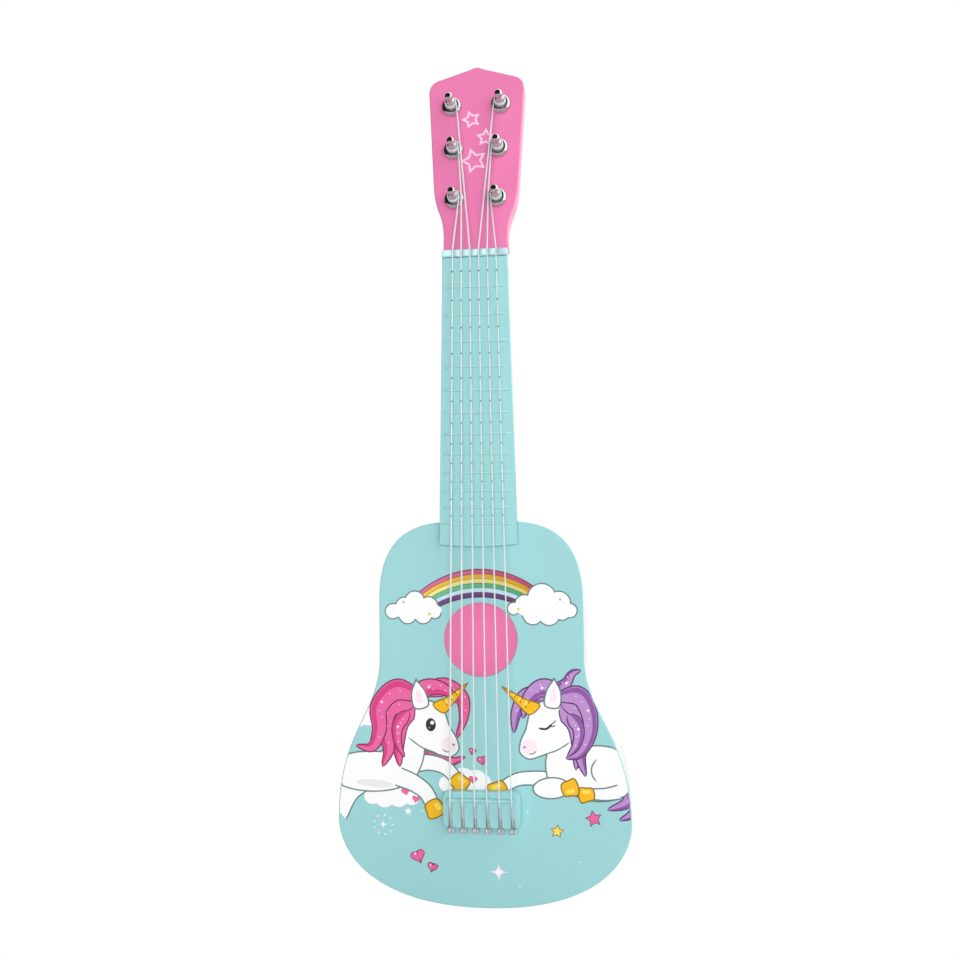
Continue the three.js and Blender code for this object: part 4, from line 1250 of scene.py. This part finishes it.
# The right animal lies down asleep with a lilac mane and tail.
picture.across = -1
right_eye = np.array([-39.5, 113.0])
draw_locks(
    [
        ([(-84, 88), (-93, 80), (-89, 67), (-77, 62)], 13),
        ([(-88, 80), (-95, 70), (-92, 60), (-84, 56)], 10),
        ([(-40, 129), (-29, 131), (-22, 121), (-20, 108)], 13),
    ],
    *LILAC_HAIR,
)
draw_leg([(-50, 79), (-34, 80.5), (-22, 79.5), (-12.5, 74.5)], 9.5, [(-13.5, 75.2), (-6, 71.2)])
RIGHT_NECK = ((-66, 92), (-60, 104), (-55, 116), (-46, 112), (-41, 98), (-39.5, 88), (-42, 78), (-60, 76))
right_head = [turned(EAR, -6, right_eye), turned(HEAD, -6, right_eye)]
picture.merged([oval(-72, 84, 25, 17), through(RIGHT_NECK), *right_head], WHITE, INK_LINE)
picture.stroke([(-55, 103), (-47, 98), (-38, 94.8)], INK_LINE, 0.8)
picture.stroke([(-71, 93), (-67.8, 88), (-68, 83), (-70.5, 79)], INK_LINE, 0.9)
draw_leg([(-84, 73), (-76, 71.5), (-67, 71.5)], 8.5, [(-68, 71.5), (-61, 70.6)])
picture.merged([oval(-43, 74.6, 11.5, 6.4, -4)], WHITE, INK_LINE)
draw_hoof([(-50.5, 73.8), (-57.5, 75.6)], 9.5)
draw_locks(
    [
        ([(-50, 126), (-59, 114), (-60, 100), (-58, 86)], 16),
        ([(-50, 127), (-63, 122), (-65, 108), (-61, 95), (-64, 82)], 15),
        ([(-45, 134), (-53, 139), (-57, 145), (-62, 147)], 8),
        ([(-46, 130), (-61, 131), (-67, 119), (-66, 105), (-59, 95), (-52, 93)], 13),
        ([(-54, 120), (-60, 111), (-58, 100), (-53, 94)], 9),
        ([(-49, 131), (-38, 136), (-29, 129), (-26, 117)], 14),
    ],
    *LILAC_HAIR,
)
picture.merged(right_head[:1], WHITE, INK_LINE)
draw_head(right_eye, -6, True)
picture.across = 1

# Hearts, stars and sparkles scattered between and below them.
HEARTS = ((-6, 96.5, 4.4, -14), (0, 91, 6, 10), (-41, 31, 9, 22), (-32, 24.5, 6.5, -16))
for x, z, size, lean_degrees in HEARTS:
    picture.merged([heart(x, z, size, lean_degrees)], ROSE, MAROON, 0.5)
    picture.fill(oval(x - size * 0.2, z + size * 0.16, size * 0.11, size * 0.08, 30), PALE_ROSE)
picture.merged([star(68.5, 56.5, 5, 12)], ROSE, MAROON, 0.5)
picture.merged([star(46, 48.3, 4, -8)], BUTTER, UMBER, 0.5)
picture.fill(star(-47, 58.5, 2.4), WHITE)
picture.fill(sparkle(9.5, 22.5, 8), (255, 236, 246))
picture.dots([(9.5, 22.5)], 1.6, WHITE)
picture.fill(sparkle(-63, 50, 3.6), WHITE)
picture.dots(circle((-63, 50), 6, 9), 0.55, WHITE)
picture.dots([(22.5, 13.5), (-38, 59), (-8, 114), (28, 60), (-20, 46), (60, 30)], 0.6, SKY_WHITE)

picture.print_on("soundboard_print", board_low[1], printed_ink("soundboard_inks"))

# ---- Printed stars on the headstock ----
# Three pale stars in outline, printed over the pink between the pegs.
STAR_LINE, STAR_INK = 1.35, (255, 212, 238)
stars = Sheet()
for x, up, radius, lean_degrees in ((-3.2, 89.4, 5.2, 17), (6.2, 76.4, 5.2, -3), (-1.2, 60.8, 7.6, 17)):
    corners = star(x, up, radius, lean_degrees, 0.52)
    edges = [inset(corners, side * STAR_LINE / 2) for side in (1, -1)]
    stars.fill(np.stack(edges, 1), STAR_INK, ring=True)
stars.print_on("headstock_stars", 0, printed_ink("headstock_ink"), lean)

# ---- Floor and light ----
# A flat white floor that looks pure white to the camera, a room that is bright behind and to the right and dark
# in front and to the left, and one large soft light in front, above and to the right.
KEY_PLACE, KEY_AIM, KEY_ENERGY = (0.25, -3, 0.62), (0, 0, 0.25), 64
ROOM_LIGHT, ROOM_DARK, DARK_WAY = (1.5, 1.5, 1.5, 1), (0.02, 0.02, 0.02, 1), (-0.75, -0.65, 0.1)
SWEEP = 2.5


def seen_white(tree, other, white, output):
    """What the camera sees directly is the white shader, and everything else is lit by the other."""
    seen = add_node(tree, "ShaderNodeLightPath").outputs["Is Camera Ray"]
    switch = add_node(tree, "ShaderNodeMixShader", seen, other.outputs[0], white.outputs[0])
    feed(tree, output.inputs["Surface"], switch.outputs[0])


floor_white, tree, floor_shader = new_material("floor_white", Base_Color=(0.5, 0.5, 0.5, 1), Roughness=0.9)
glow = add_node(tree, "ShaderNodeEmission", Color=(1, 1, 1, 1), Strength=1.0)
seen_white(tree, floor_shader, glow, tree.nodes["Material Output"])
floor_mesh = bpy.data.meshes.new("floor")
corners = [(-SWEEP, -SWEEP, 0), (SWEEP, -SWEEP, 0), (SWEEP, SWEEP, 0), (-SWEEP, SWEEP, 0)]
floor_mesh.from_pydata(corners, [], [(0, 1, 2, 3)])
in_scene("floor", floor_mesh, floor_white)

world = bpy.data.worlds.new("room")
bpy.context.scene.world = world
world.use_nodes = True
tree = world.node_tree
tree.nodes.clear()
room = add_node(tree, "ShaderNodeBackground", Strength=1.0)
backdrop = add_node(tree, "ShaderNodeBackground", Color=(1, 1, 1, 1), Strength=1.0)
seen_white(tree, room, backdrop, add_node(tree, "ShaderNodeOutputWorld"))
where = add_node(tree, "ShaderNodeTexCoord").outputs["Generated"]
toward = add_node(tree, "ShaderNodeVectorMath", where, DARK_WAY, operation="DOT_PRODUCT").outputs["Value"]
shade = add_node(tree, "ShaderNodeValToRGB", toward)
for element, position, light in zip(shade.color_ramp.elements, (0.0, 0.28), (ROOM_LIGHT, ROOM_DARK)):
    element.position = position
    element.color = light
feed(tree, room.inputs["Color"], shade.outputs["Color"])

key_data = bpy.data.lights.new("key", "AREA")
key_data.shape = "RECTANGLE"
key_data.size = 2.4
key_data.size_y = 1.2
key_data.energy = KEY_ENERGY
key = bpy.data.objects.new("key", key_data)
key.location = KEY_PLACE
key.rotation_euler = (Vector(KEY_AIM) - key.location).to_track_quat("-Z", "Y").to_euler()
key.visible_glossy = False
bpy.context.scene.collection.objects.link(key)
bpy.context.scene.view_settings.view_transform = "Standard"
